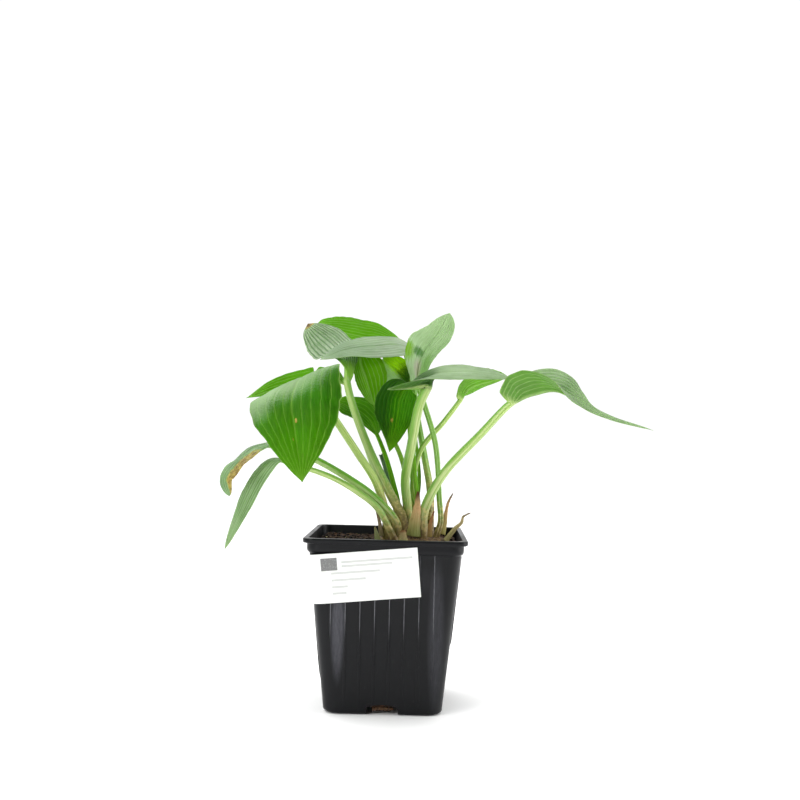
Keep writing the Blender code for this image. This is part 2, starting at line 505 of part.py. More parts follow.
def label_point(a, b, lift):
    """The place of a point a along and b up the label, lift out from the surface under it."""
    run = a * math.cos(LABEL_TILT) + b * math.sin(LABEL_TILT)
    z = LABEL_START[1] - a * math.sin(LABEL_TILT) + b * math.cos(LABEL_TILT)
    half = label_half(z) + lift
    corner = CORNER_R + lift
    straight = LABEL_START[0] + label_half(z) - CORNER_R
    if run <= straight:
        return (LABEL_START[0] - run, -half, z)
    turn = (run - straight) / CORNER_R
    middle = half - corner
    return (-middle - corner * math.sin(turn), -middle - corner * math.cos(turn), z)


def label_rings(columns=22, rows=4):
    """The wrap-round label as closed loops, one after another along its length."""
    rings = []
    for i in range(columns + 1):
        a = LABEL_LENGTH * i / columns
        outer = [label_point(a, LABEL_HEIGHT * j / rows, LABEL_THICK) for j in range(rows + 1)]
        inner = [label_point(a, LABEL_HEIGHT * j / rows, 0.0) for j in range(rows, -1, -1)]
        rings.append(outer + inner)
    return rings


# ---------------------------------------------------------------- objects
def principled(name, colour, roughness):
    """A Principled material with the part's own colour and roughness."""
    material = bpy.data.materials.new(name)
    material.use_nodes = True
    shader = material.node_tree.nodes["Principled BSDF"]
    shader.inputs["Base Color"].default_value = (*colour, 1.0)
    shader.inputs["Roughness"].default_value = roughness
    shader.inputs["Metallic"].default_value = 0.0
    return material


def skin_object(name, rings, look):
    """One closed body through the rings (in mm), capped at both ends, facing outwards."""
    rings = np.asarray(rings, float)
    mesh = bpy.data.meshes.new(name)
    body = bmesh.new()
    rows = [[body.verts.new(point * MM) for point in ring] for ring in rings]
    count = len(rows[0])
    for low, high in zip(rows, rows[1:]):
        for k in range(count):
            n = (k + 1) % count
            body.faces.new((low[k], low[n], high[n], high[k]))
    body.faces.new(rows[0][::-1])
    body.faces.new(rows[-1])
    bmesh.ops.recalc_face_normals(body, faces=body.faces)
    body.to_mesh(mesh)
    body.free()
    thing = bpy.data.objects.new(name, mesh)
    bpy.context.scene.collection.objects.link(thing)
    mesh.materials.append(principled(name + "_surface", *look))
    return thing


def make_pot():
    """The nursery pot with a drain notch in the middle of each side."""
    pot = skin_object("pot", pot_rings(), COLOURS["pot"])
    for side in range(4):
        cut = pot.modifiers.new("drain_%d" % side, "BOOLEAN")
        cut.operation = "DIFFERENCE"
        cut.solver = "EXACT"
        cut.object = drain_cutter("drain_cutter_%d" % side, side * math.pi / 2)
    return pot


def main():
    """Build every piece of the potted plant."""
    for thing in list(bpy.data.objects):
        bpy.data.objects.remove(thing, do_unlink=True)
    make_pot()
    skin_object("potting_soil", soil_rings(), COLOURS["soil"])
    skin_object("label", label_rings(), COLOURS["label"])
    skin_object("crown", crown_rings(), COLOURS["crown"])
    skin_object("drain_root", tube_rings(ROOT_LINE, ROOT_R, 8), COLOURS["root"])
    skin_object("cut_stalk_stub", tube_rings(STUB_LINE, STUB_R, 9), COLOURS["stub"])
    for name, sheath in SHEATHS.items():
        skin_object(name, sheath_rings(sheath), COLOURS["sheath"])
    for name, leaf in LEAVES.items():
        skin_object(name, leaf_rings(leaf), COLOURS["leaf"])


main()
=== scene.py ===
"""Looks of the potted hosta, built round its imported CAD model: every piece is a detailed mesh
with a procedural material, and stands for the CAD node of the same piece. Sizes are in
millimetres in the tables and turned into metres when an object is made."""
import math

import bpy
import numpy as np
from mathutils import Matrix, Vector, noise


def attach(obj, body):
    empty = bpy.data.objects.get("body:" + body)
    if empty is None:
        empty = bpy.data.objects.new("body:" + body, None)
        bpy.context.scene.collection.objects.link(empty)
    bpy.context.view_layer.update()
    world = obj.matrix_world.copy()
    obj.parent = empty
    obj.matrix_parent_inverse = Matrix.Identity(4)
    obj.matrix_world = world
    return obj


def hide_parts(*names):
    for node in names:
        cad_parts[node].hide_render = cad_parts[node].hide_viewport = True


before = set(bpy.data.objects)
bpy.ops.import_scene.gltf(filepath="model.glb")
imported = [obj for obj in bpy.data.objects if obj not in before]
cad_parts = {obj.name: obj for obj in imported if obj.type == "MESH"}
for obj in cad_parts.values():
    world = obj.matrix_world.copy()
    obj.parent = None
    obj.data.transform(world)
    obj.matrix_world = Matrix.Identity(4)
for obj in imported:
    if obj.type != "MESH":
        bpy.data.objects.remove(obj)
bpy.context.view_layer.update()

MM = 0.001
rng = np.random.default_rng(7)

# ---------------------------------------------------------------- sizes in mm, and counts
# The pot's main sizes, the leaves and the sheaths are the CAD's. Edges are rounded more finely here.
POT_HEIGHT = 96.0
RIM_HALF = 45.0
RIM_THICK = 2.7
MOUTH_HALF = 42.0
SKIRT_HALF = 43.0
SKIRT_DEPTH = 5.3
BASE_HALF = 32.8
WALL_TOP_HALF = 41.8
WALL_THICK = 1.0
FLOOR_Z = 2.5
FLOOR_THICK = 1.2
PAD_HALF = 11.0
CORNER_R = 8.0
RIM_CORNER_R = 6.0
DRAIN_HALF = 8.6
DRAIN_HEIGHT = 5.3
DRAIN_DEPTH = 7.0
ARCH_RISE = 2.5
RIM_ROUND = 0.8
SKIRT_IN = 1.1
SKIRT_UP = 2.4
SOIL_LEVEL = 91.0
CROWN_CENTRE = (14.0, -3.0)
CROWN_HALF = (21.0, 19.0)
LABEL_LENGTH = 64.0
LABEL_HEIGHT = 27.0
LABEL_TILT = math.radians(5.5)
LABEL_START = (20.0, 65.6)
LABEL_THICK = 0.25
BLADE_THICK = 0.55
GAP = 0.3
RIB_PLACES = (-29.0, -21.0, -13.0, -5.0, 3.0, 11.0, 19.0, 27.0)

# Each leaf. petiole and midrib: points from the crown to the tip; up: ways the blade faces, from its
# base to its tip; outline: (t, left half width, right half width), or half: the greatest half
# widths, with profile: how fast the outline rises and falls; r: the stalk's radius at its foot and
# at its top; fold: degrees that the left and right half rise, and curl: degrees more at the margin;
# lobe: how far each half reaches back past the end of the stalk.
LEAVES = {
    "leaf_front_left": dict(
        petiole=[(0, -9, 95.5), (-1, -11, 108), (-7, -15, 126), (-18, -20, 143), (-30, -27, 161)],
        midrib=[(-41, -36, 179), (-46, -44, 183), (-49, -54, 178), (-50, -64, 168),
                (-47, -71, 154), (-42, -75, 127.5)],
        up=[(-0.5, -0.2, 1), (-0.55, -0.6, 0.8), (-0.2, -1, 0.2), (0, -1, 0.1), (0, -1, 0.1)],
        outline=[(0, 1.9, 1.9), (0.04, 15, 10), (0.1, 21.5, 20), (0.2, 24.8, 25.5), (0.3, 26.5, 26),
                 (0.4, 27, 24.5), (0.5, 26.4, 22.2), (0.6, 24, 19.2), (0.7, 19.6, 15.6),
                 (0.8, 13.8, 11.2), (0.9, 7.2, 6.2), (1, 0, 0)],
        r=(2.6, 1.9), fold=((7, 5, 12), (0, 14, 12)), curl=((-10, -28, -20), (-18, -20, -18))),
    "leaf_left_low": dict(
        petiole=[(4, -1, 95.5), (-1, 3, 109), (-6, 6, 125), (-17, 7, 154), (-24, 8, 176)],
        midrib=[(-27, 7, 183), (-39, -2, 185), (-52, -9, 181), (-69, -14, 177), (-82, -18, 172)],
        up=[(0.3, 0.3, 1), (0, 0.4, 1), (0, 0.5, 1), (0, 0.2, 1)],
        outline=[(0, 1.2, 1.2), (0.05, 3.5, 6), (0.1, 6, 8.5), (0.15, 9, 10.2), (0.2, 11.8, 11.4),
                 (0.3, 14.2, 12.7), (0.4, 15, 13), (0.5, 14.6, 12.6), (0.6, 13.2, 11.6),
                 (0.7, 11.2, 9.8), (0.8, 8.4, 7.4), (0.9, 5, 4.4), (1, 0, 0)],
        r=(1.9, 1.3),
        fold=((22,), (10,)), curl=((-25,), (-25,))),
    "leaf_top_front": dict(
        petiole=[(25, 8, 95.5), (25, 11, 119), (21, 13, 141), (16, 16, 167), (14, 18, 186)],
        midrib=[(15, 20, 200), (7, 16, 207), (-7, 9, 206), (-26, 2, 203), (-42, -3, 196)],
        up=[(0, -0.4, 1), (0, -0.5, 0.85), (0, -0.5, 0.85), (0, -0.3, 0.9)],
        outline=[(0, 1.5, 1.5), (0.02, 8, 10), (0.06, 12.5, 15), (0.12, 15, 16.8),
                 (0.2, 16.3, 16.8), (0.35, 16.3, 16), (0.5, 15.4, 15), (0.65, 13.2, 12.8),
                 (0.8, 9.4, 9.2), (0.92, 4.6, 4.6), (1, 0, 0)],
        r=(2.6, 1.4), fold=((5,), (5,)), curl=((-12,), (-12,))),
    "leaf_top_left": dict(
        petiole=[(11, -8, 95.5), (9, -8, 106), (1, -9, 121), (-11, -11, 145), (-21, -11, 170)],
        midrib=[(-24.5, -8, 182), (-26, 0, 193), (-30, 12, 202), (-39, 24, 211), (-54, 36, 222)],
        up=[(1, 0, 0.3), (0.4, -0.5, 0.8), (0, -0.8, 0.65), (-0.1, -0.8, 0.65), (-0.3, -0.7, 0.7)],
        outline=[(0, 2.4, 2.4), (0.1, 4.4, 3.8), (0.2, 6.8, 5), (0.3, 9.8, 7.2), (0.4, 13, 9),
                 (0.5, 15.4, 10.2), (0.6, 16.2, 10.8), (0.7, 15.4, 10.8), (0.8, 13.4, 9.8),
                 (0.9, 9.8, 7.4), (0.96, 6, 4.6), (1, 0, 0)],
        r=(3.4, 2.4), fold=((25, 5, -5, -5, -5), (25, 15, 10, 5, 0)), curl=((0, -5, -10), (0, -15, -30))),
    "leaf_top_back": dict(
        petiole=[(18, 14, 95.5), (16, 16, 107), (14, 24, 132), (11, 32, 169), (10, 37, 194)],
        midrib=[(6, 40, 208), (-5, 45, 214), (-22, 51, 217), (-39, 57, 221), (-51, 62, 224)],
        up=[(0, 0.5, 0.85)],
        half=(18.5, 18), profile=(0.6, 0.75), r=(1.9, 1.3),
        fold=((0, 5, 10), (5,)), curl=((0, -10, -10), (-20,))),
    "leaf_upright_right": dict(
        petiole=[(29, 0, 95.5), (31, 1, 103), (30, 2, 116), (27, 0, 148), (20, -2, 171)],
        midrib=[(16, -4, 183), (16, -5, 193), (20, -3, 203), (27, 1, 213), (34, 5, 226.3)],
        up=[(0.3, -1, 0.2), (0.3, -1, 0.2), (0, -1, 0.2), (-0.2, -1, 0.4)],
        outline=[(0, 1.6, 1.6), (0.05, 5, 4.4), (0.15, 8.6, 6), (0.25, 11.2, 6.6), (0.35, 12.6, 7.2),
                 (0.45, 12.4, 7.6), (0.55, 10.9, 8.2), (0.7, 8.4, 8.6), (0.8, 6.8, 7.8),
                 (0.9, 4.4, 5.8), (0.96, 2.2, 3.2), (1, 0, 0)],
        r=(1.9, 1.3), fold=((50, 15, 10), (50, 25, 5)), curl=((-15,), (-20,))),
    "leaf_inner_back": dict(
        petiole=[(11, 15, 95.5), (10, 17, 117), (8, 18, 136), (-1, 16, 156), (-15, 14, 182)],
        midrib=[(-19, 10, 200.5), (-18, 6, 195), (-15, 1, 187), (-12, 0, 178.5), (-9.5, 0, 170.5)],
        up=[(0.2, 1, 0.4), (0.2, 1, 0.1)],
        half=(7, 13.5), profile=(0.5, 0.6), r=(1.8, 1.0),
        fold=((10,), (10,)), curl=((-20,), (-20,))),
    "leaf_centre_hanging": dict(
        petiole=[(18.6, -1.6, 95.5), (18.4, 0.4, 107), (16.6, 1.2, 123), (14.2, -1.6, 146), (15, -6, 169)],
        midrib=[(13, -7, 178), (10, -10, 181), (6, -12, 175), (4, -13, 161), (0.4, -13, 143)],
        up=[(0.2, -0.3, 1), (0.2, -1, 0.4), (0.1, -1, 0.1), (0, -1, 0)],
        outline=[(0, 1.2, 1.2), (0.05, 4.5, 6), (0.1, 6.6, 9), (0.2, 9, 11.8), (0.3, 10, 13),
                 (0.4, 10, 13.6), (0.5, 9.4, 13.4), (0.6, 8.2, 12), (0.7, 6.6, 9.2),
                 (0.8, 4.8, 5.8), (0.9, 2.8, 2.8), (1, 0, 0)],
        r=(1.7, 1.1), fold=((8,), (8,)), curl=((-20,), (-25,))),
    "leaf_young_cupped": dict(
        petiole=[(14.5, 10.5, 95.5), (16.5, 12, 109), (18.4, 13, 126), (16, 12, 148), (13, 10, 172)],
        midrib=[(11, 9, 184), (7, 7, 187.5), (2.5, 5.5, 191.5), (-1.5, 4.5, 195), (-5, 4.5, 199)],
        up=[(0.3, -0.2, 1), (0.2, -0.3, 1)],
        outline=[(0, 1.1, 1.1), (0.08, 5, 6), (0.18, 7.5, 9), (0.35, 9, 10.5), (0.6, 8.5, 9.5),
                 (0.8, 6, 6.5), (0.93, 3, 3.2), (1, 0, 0)],
        r=(1.4, 1.0), fold=((-48,), (58,)), curl=((-25,), (-10,))),
    "leaf_inner_low": dict(
        petiole=[(5, 7, 95.5), (6, 9, 110), (3, 11, 123), (-2, 14, 139)],
        midrib=[(-8, 18, 153), (-13, 20, 162), (-19, 22, 167), (-26, 24, 170), (-34, 26, 173)],
        up=[(0.3, -0.5, 1), (0, -0.6, 1), (0, -0.6, 1)],
        half=(11, 13), profile=(0.7, 0.45), r=(2.0, 1.3),
        fold=((10,), (10,)), curl=((-10,), (-10,))),
    "leaf_right_near": dict(
        petiole=[(12.4, -0.5, 95.5), (10.5, -3.4, 112), (9, -6, 127), (12.2, -14, 147), (16.2, -19, 170)],
        midrib=[(20.4, -21, 180), (24, -21, 187), (35, -22, 189), (51, -24, 189), (69, -25, 186)],
        up=[(-0.5, -0.2, 1), (-0.1, -0.3, 1), (0, -0.35, 1)],
        outline=[(0, 2.5, 2.5), (0.05, 5.5, 8), (0.1, 8.5, 10.5), (0.15, 10.8, 11.8),
                 (0.25, 13.2, 12.5), (0.4, 13.5, 12.3), (0.6, 11.8, 10.6), (0.8, 8, 7.2),
                 (0.92, 4, 3.6), (1, 0, 0)],
        lobe=(12, 32), r=(3.1, 3.0),
        fold=((-2, 11, 9, 7, 5), (2, -4, -3)), curl=((0, -10, -10), (0, -12, -10))),
    "leaf_right_back": dict(
        petiole=[(20, 4, 95.5), (18, 6.4, 107), (14, 7, 122), (18, 6, 144), (32, 13, 162)],
        midrib=[(41.5, 21, 175), (46, 26, 182), (53, 33, 186), (63, 41, 189), (74, 48, 192)],
        up=[(-0.5, 0.6, 0.8), (0, 0.5, 0.9)],
        half=(12.5, 13), profile=(0.62, 1.0), lobe=(1, 4), r=(2.0, 1.5),
        fold=((15,), (20,)), curl=((-20,), (-20,))),
    "leaf_right_long": dict(
        petiole=[(20, -8, 95.5), (20, -9, 107), (23, -11, 117), (32, -15, 133), (51.5, -24, 155)],
        midrib=[(67, -31.5, 172), (72, -33, 174.8), (80, -35, 178), (91, -40, 179.6), (101, -44, 175),
                (111, -48, 168), (140, -57, 158)],
        up=[(-0.3, 0, 1), (0, -0.1, 1), (0.1, -0.3, 1), (0.3, -0.4, 0.9), (0.3, -0.4, 0.9),
            (0.3, -0.4, 0.9)],
        outline=[(0, 2, 2), (0.03, 4.6, 5), (0.07, 9, 10), (0.13, 14, 15.4), (0.2, 16.3, 17.4),
                 (0.3, 15.8, 16.8), (0.4, 12.8, 13.6), (0.48, 8.6, 9.2), (0.55, 5.2, 5.6),
                 (0.62, 4, 4.3), (0.75, 3.2, 3.4), (0.9, 1.5, 1.6), (1, 0, 0)],
        lobe=(5, 11), r=(3.2, 2.2),
        fold=((52, 48, 20, 0, -5), (56, 42, 4, -8, -5)), curl=((0, -20, -20), (0, -10, -10))),
    "leaf_damaged_left": dict(
        petiole=[(6, -13, 95.5), (6, -15, 103), (-6, -20, 117), (-21, -26, 128), (-43, -33, 140)],
        midrib=[(-64, -38, 146), (-72, -41, 144), (-81, -45, 136), (-87, -47, 127),
                (-84, -48, 118)],
        up=[(-0.3, -0.3, 1), (-0.8, -0.5, 0.3), (-0.6, -0.8, 0)],
        half=(9, 8), profile=(0.4, 0.6), r=(2.7, 1.8),
        fold=((5,), (5,)), curl=((-20,), (-20,))),
    "leaf_narrow_left": dict(
        petiole=[(4, -19, 95.5), (-5, -25, 112), (-16, -30, 121), (-29, -34, 128.5), (-41, -38, 133)],
        midrib=[(-52, -40, 136), (-60, -43, 138), (-67, -46, 131.5), (-75, -50, 115),
                (-85, -52, 90)],
        up=[(0, 0, 1), (-0.7, -0.8, 0.4), (-0.7, -0.9, 0.1)],
        half=(7.2, 8.4), profile=(0.3, 0.8), r=(2.1, 1.6),
        fold=((5,), (5,)), curl=((-20,), (-20,))),
}

# Each dry strip. line: points from its foot to its tip; out: the way it faces; half: its half
# width at the foot and at the tip; wrap: degrees that each half bends round.
SHEATHS = {
    "sheath_centre": dict(line=[(15, -14.2, 95.4), (15.8, -13.9, 104), (17, -13.2, 113),
        (17.3, -12.7, 121)], out=(-0.1, -1, 0), half=(4.9, 0.6), wrap=58),
    "sheath_left": dict(line=[(-4.4, -9.2, 95.4), (-5.2, -10.4, 102), (-6.6, -12, 109)],
        out=(-1, -0.1, 0.1), half=(5.0, 1.6), wrap=65),
    "sheath_front_low": dict(line=[(9.5, -24, 92.8), (9.4, -23, 96), (9.2, -22.4, 99.5)],
        out=(0, -1, 0.1), half=(3.4, 1.4), wrap=60),
    "scale_left_pale": dict(line=[(-5, -15.5, 92.6), (-5.8, -16, 96), (-6.8, -16.6, 100.5)],
        out=(-0.4, -1, 0.2), half=(2.0, 0.4), wrap=30),
    "sheath_right": dict(line=[(33, 0, 95.4), (34, 2, 102), (34.6, 3.5, 109), (36, 4, 115),
        (38.2, 4, 119.5)], out=(0.6, -0.8, 0), half=(2.4, 0.4), wrap=70),
    "sheath_red": dict(line=[(24.6, -13.4, 95.2), (24.9, -13.8, 103), (26.6, -14.4, 110)],
        out=(0.2, -1, 0), half=(1.7, 0.4), wrap=50),
    "dry_leaf_right": dict(line=[(33.5, -9, 92.8), (39, -9, 100), (42.6, -9, 103.5), (43.6, -9, 106.8),
        (47.8, -9, 109.2)], out=(-0.4, -1, 0.4), half=(1.9, 0.3), wrap=40),
}
STUB_LINE = [(4, 13, 92.5), (4, 14, 110), (0, 16, 124), (-3, 17, 134), (-5.5, 17, 141)]
STUB_R = (1.6, 1.05)
ROOT_LINE = [(-5.5, -30.2, 2.2), (-2, -29.4, 2.5), (2.5, -29.9, 2.4), (5.8, -29.0, 2.2)]
ROOT_R = (1.2, 0.8)
ROOT_HAIRS = 14
CRUMBS = 620
FIBRES = 170


def srgb(r, g, b):
    """A colour given as 0-255 screen values, in the linear values that Blender wants."""
    c = np.array([r, g, b]) / 255.0
    return tuple(float(x) for x in np.where(c <= 0.04045, c / 12.92, ((c + 0.055) / 1.055) ** 2.4))


# How each leaf looks. On a blade, s runs from -1 at one margin to 1 at the other, and t from 0 at
# its base to 1 at its tip. Colours are 0-255 screen values, lengths millimetres.
#   veins: on each side of the midrib; pleat, wave, lumps: how high those stand
#   dark, light, vein: greens of the top; under: the underside; furrow, groove: painted shade in the
#   lines between pleats: how strongly they darken, and to what colour
#   through: how much light comes through; lit: how far that light turns a fixed yellow green
#   bloom: the waxy sheen; stalk: the stalk's two greens; channel: how green its upper side is
#   husk: the dry foot of the stalk as (full up to, gone at, strength), as shares of its length
#   shade: painted light, with a few of the leaf's own tints: painted highlights and sheen, painted
#   shade in folds and cups, and the painted glow of light through the blade, each as (s, t, half
#   size in s, half size in t, strength, colour)
#   brown: dead places as (s, t, half size in s, half size in t, strength)
#   bites: notches in the margin as (side, t, half size in t, depth as a share of the half width)
PLAIN = dict(veins=6, pleat=0.25, dark=(30, 84, 4), light=(74, 138, 10), under=(96, 158, 34),
             vein=(150, 190, 80), through=0.42, bloom=0.0, wave=0.35, furrow_shade=0.12, brown=(), shade=(),
             furrow_shade_colour=None, lit=0.62, stalk=((136, 174, 64), (206, 222, 154)), channel=0.75,
             husk=(0.04, 0.30, 0.8))
# Pale grey greens of leaves with a waxy bloom: partly the bloom's own colour, partly painted sheen for the
# white surround's reflection.
BLOOM_AND_PAINTED_SHEEN = dict(dark=(104, 136, 88), light=(146, 172, 126), vein=(176, 196, 156), bloom=0.35)
LEAF_LOOKS = {
    # leaf_front_left: its first three shade entries paint pale sheen highlights along its top and upper
    # edges.
    "leaf_front_left": dict(dark=(12, 72, 0), light=(40, 116, 0), veins=5, pleat=0.16, wave=0.2,
        lumps=0.25, through=0.36, husk=(0.10, 0.45, 0.6), brown=((-0.06, 0.60, 0.03, 0.018, 0.9),
        (0.10, 0.72, 0.02, 0.01, 0.7)), shade=((0.3, 0.17, 1.1, 0.27, 0.65, (176, 200, 156)),
        (0.85, 0.34, 0.5, 0.22, 0.6, (178, 202, 160)), (-0.8, 0.10, 0.5, 0.12, 0.6, (164, 190, 144)),
        (0.2, 0.75, 1.2, 0.3, 0.35, (84, 156, 0)))),
    "leaf_left_low": dict(veins=4, through=0.55, dark=(54, 104, 16), light=(116, 172, 52),
        bites=((-1, 0.375, 0.018, 0.30),)),
    "leaf_top_front": dict(BLOOM_AND_PAINTED_SHEEN, veins=5, pleat=0.2, wave=0.25, furrow_shade=0.34, dark=(118, 140, 108),
        light=(158, 178, 144), under=(128, 176, 72), husk=(0.10, 0.50, 0.85), stalk=((120, 160, 60),
        (186, 208, 130)), shade=((0.0, 0.72, 1.5, 0.25, 0.4, (120, 166, 96)), (0.0, 0.05, 1.5, 0.2, 0.4,
        (176, 178, 172)))),
    # leaf_top_left: its pale greens are partly painted sheen; its shade entry paints the glow of light
    # through the foot of its blade.
    "leaf_top_left": dict(BLOOM_AND_PAINTED_SHEEN, veins=6, pleat=0.55, furrow_shade=0.85, furrow_shade_colour=(40, 100, 16),
        dark=(150, 174, 134), light=(232, 238, 222), husk=(0.10, 0.50, 0.85), lit=0.35, through=0.5,
        shade=((0.0, 0.08, 1.5, 0.22, 0.95, (190, 228, 110)),), brown=((0.0, 1.0, 1.0, 0.055, 1.0),)),
    "leaf_top_back": dict(through=0.55, wave=0.2, pleat=0.2, dark=(110, 142, 52), light=(172, 198, 108),
        vein=(204, 216, 124), stalk=((112, 160, 40), (160, 196, 92))),
    # leaf_upright_right: its pale greens are partly painted sheen; shade paints the glow of light through a
    # curled margin near its foot and the shade inside that curl, beside the pinkish grey of its midrib.
    "leaf_upright_right": dict(BLOOM_AND_PAINTED_SHEEN, dark=(160, 192, 138), light=(200, 226, 178), pleat=0.14, wave=0.2,
        furrow_shade=0.16, shade=((0.6, 0.2, 0.5, 0.22, 0.8, (120, 168, 84)), (-0.85, 0.32, 0.36, 0.10, 1.0,
        (124, 176, 0)), (-0.30, 0.36, 0.34, 0.06, 0.9, (40, 110, 10)), (-0.1, 0.17, 0.4, 0.13, 0.9,
        (196, 182, 178)))),
    "leaf_inner_back": dict(veins=5, stalk=((104, 156, 34), (150, 190, 84)), under=(104, 168, 10),
        dark=(60, 120, 6), light=(100, 160, 16), through=0.5),
    "leaf_centre_hanging": dict(dark=(4, 56, 0), light=(30, 104, 0), veins=6, pleat=0.3,
        vein=(120, 180, 30), stalk=((88, 146, 20), (140, 184, 70)), shade=((0.75, 0.45, 0.5, 0.5, 0.7,
        (4, 44, 16)), (-0.5, 0.3, 0.5, 0.3, 0.5, (70, 140, 20))),
        brown=((0.22, 0.60, 0.07, 0.03, 0.9),)),
    # leaf_young_cupped: its very bright yellow greens stand in for light coming through the cup, and shade
    # paints the shade inside the cup by its stalk.
    "leaf_young_cupped": dict(veins=4, light=(206, 250, 30), dark=(180, 232, 16), under=(186, 214, 150),
        through=0.75, lit=0.15, stalk=((96, 150, 24), (150, 190, 84)), shade=((0.2, 0.0, 1.3, 0.55, 0.97,
        (30, 84, 6)), (-0.8, 0.55, 0.7, 0.6, 0.9, (190, 214, 176)))),
    "leaf_inner_low": dict(veins=4, dark=(14, 76, 0), light=(60, 124, 6), stalk=((84, 140, 20),
        (136, 180, 66))),
    # leaf_right_near: shade paints the shade in the cup at the foot of its blade.
    "leaf_right_near": dict(BLOOM_AND_PAINTED_SHEEN, pleat=0.2, wave=0.25, dark=(122, 148, 106), light=(166, 188, 146),
        shade=((-0.2, 0.02, 1.6, 0.20, 1.0, (22, 66, 4)),)),
    "leaf_right_back": dict(through=0.55, under=(116, 168, 62)),
    "leaf_right_long": dict(BLOOM_AND_PAINTED_SHEEN, dark=(104, 134, 88), light=(150, 176, 128), pleat=0.3,
        under=(96, 144, 54)),
    "leaf_damaged_left": dict(BLOOM_AND_PAINTED_SHEEN, veins=3, bloom=0.2, channel=1.0, stalk=((140, 184, 70),
        (206, 226, 160)), dark=(84, 120, 74), light=(140, 172, 120), furrow_shade=0.35,
        brown=((-0.85, 0.60, 0.62, 0.42, 1.0),)),
    "leaf_narrow_left": dict(BLOOM_AND_PAINTED_SHEEN, veins=4, bloom=0.2, dark=(104, 140, 84), light=(178, 202, 156),
        furrow_shade=0.6),
}


# ---------------------------------------------------------------- curves and profiles
def smooth_line(points, count):
    """Centripetal Catmull-Rom curve through the points, read at count + 1 even steps."""
    p = np.asarray(points, float)
    p = np.vstack([2 * p[0] - p[1], p, 2 * p[-1] - p[-2]])
    pieces = []
    for i in range(1, len(p) - 2):
        p0, p1, p2, p3 = p[i - 1:i + 3]
        t0 = 0.0
        t1 = t0 + math.sqrt(np.linalg.norm(p1 - p0))
        t2 = t1 + math.sqrt(np.linalg.norm(p2 - p1))
        t3 = t2 + math.sqrt(np.linalg.norm(p3 - p2))
        t = np.linspace(t1, t2, 40, endpoint=False)[:, None]
        a1 = (t1 - t) / (t1 - t0) * p0 + (t - t0) / (t1 - t0) * p1
        a2 = (t2 - t) / (t2 - t1) * p1 + (t - t1) / (t2 - t1) * p2
        a3 = (t3 - t) / (t3 - t2) * p2 + (t - t2) / (t3 - t2) * p3
        b1 = (t2 - t) / (t2 - t0) * a1 + (t - t0) / (t2 - t0) * a2
        b2 = (t3 - t) / (t3 - t1) * a2 + (t - t1) / (t3 - t1) * a3
        pieces.append((t2 - t) / (t2 - t1) * b1 + (t - t1) / (t2 - t1) * b2)
    curve = np.vstack(pieces + [p[-2][None]])
    length = np.r_[0, np.cumsum(np.linalg.norm(np.diff(curve, axis=0), axis=1))]
    steps = np.linspace(0, length[-1], count + 1)
    return np.stack([np.interp(steps, length, curve[:, k]) for k in range(3)], axis=1)


def along(values, t):
    """Values stated evenly from base to tip, read at the places t (0 to 1), with round turns."""
    v = np.asarray(values, float)
    if len(v) == 1:
        return np.broadcast_to(v[0], (len(t),) + v[0].shape).copy()
    knots = np.linspace(0, 1, len(v))
    fine = np.linspace(-0.5, 1.5, 801)
    kernel = np.exp(-0.5 * (np.linspace(-3, 3, 61)) ** 2)
    kernel /= kernel.sum()
    flat = v.reshape(len(v), -1)
    out = []
    for column in flat.T:
        raw = np.interp(fine, knots, column)
        soft = np.convolve(np.pad(raw, 30, mode="edge"), kernel, mode="valid")
        out.append(np.interp(t, fine, soft))
    out = np.stack(out, axis=1)
    return out[:, 0] if v.ndim == 1 else out


def blade_width(t, rise, fall):
    """Outline of a blade from base to tip, 1 at its widest."""
    peak = rise / (rise + fall)
    return t ** rise * (1 - t) ** fall / (peak ** rise * (1 - peak) ** fall)


def half_widths(leaf, t):
    """How wide the blade is at t, 1 at its widest, and its half widths left and right."""
    if "outline" not in leaf:
        width = blade_width(t, *leaf["profile"])
        return width, (leaf["half"][0] * width, leaf["half"][1] * width)
    rows = np.array(leaf["outline"], float)
    halves = []
    for k in (1, 2):
        curve = smooth_line(np.c_[rows[:, 0] * 50, rows[:, k], rows[:, 0] * 0], 300)
        halves.append(np.interp(t, curve[:, 0] / 50, curve[:, 1]))
    return np.maximum(*halves) / rows[:, 1:].max(), halves


def ease(x):
    """Smooth step from 0 to 1."""
    x = np.clip(x, 0, 1)
    return x * x * (3 - 2 * x)


def unit(v):
    """Vectors scaled to length 1."""
    return v / np.maximum(np.linalg.norm(v, axis=-1, keepdims=True), 1e-12)


def value_noise(points, scale, seed=0.0, octaves=3):
    """Smooth noise, about -1 to 1, at points in mm; scale is the size of its lumps in mm."""
    shift = Vector((seed * 13.7, seed * 7.3, seed * 3.1))
    out = [noise.fractal(Vector(p) / scale + shift, 1.0, 2.0, octaves) for p in points.reshape(-1, 3)]
    return np.array(out).reshape(points.shape[:-1])


# ---------------------------------------------------------------- meshes
def add_object(name, mesh, material, node=None):
    """An object that rides on the plant's one body, and stands for a CAD node if one is named."""
    mesh.polygons.foreach_set("use_smooth", np.ones(len(mesh.polygons), bool))
    mesh.materials.append(material)
    mesh.update()
    thing = bpy.data.objects.new(name, mesh)
    bpy.context.scene.collection.objects.link(thing)
    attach(thing, "root")
    if node:
        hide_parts(node)
    return thing


def grid_faces(rows, count):
    """Quads between successive closed rings of count points."""
    now = np.arange(rows * count).reshape(rows, count)
    nxt = np.roll(now, -1, axis=1)
    return np.stack([now[:-1], nxt[:-1], nxt[1:], now[1:]], axis=-1).reshape(-1, 4)


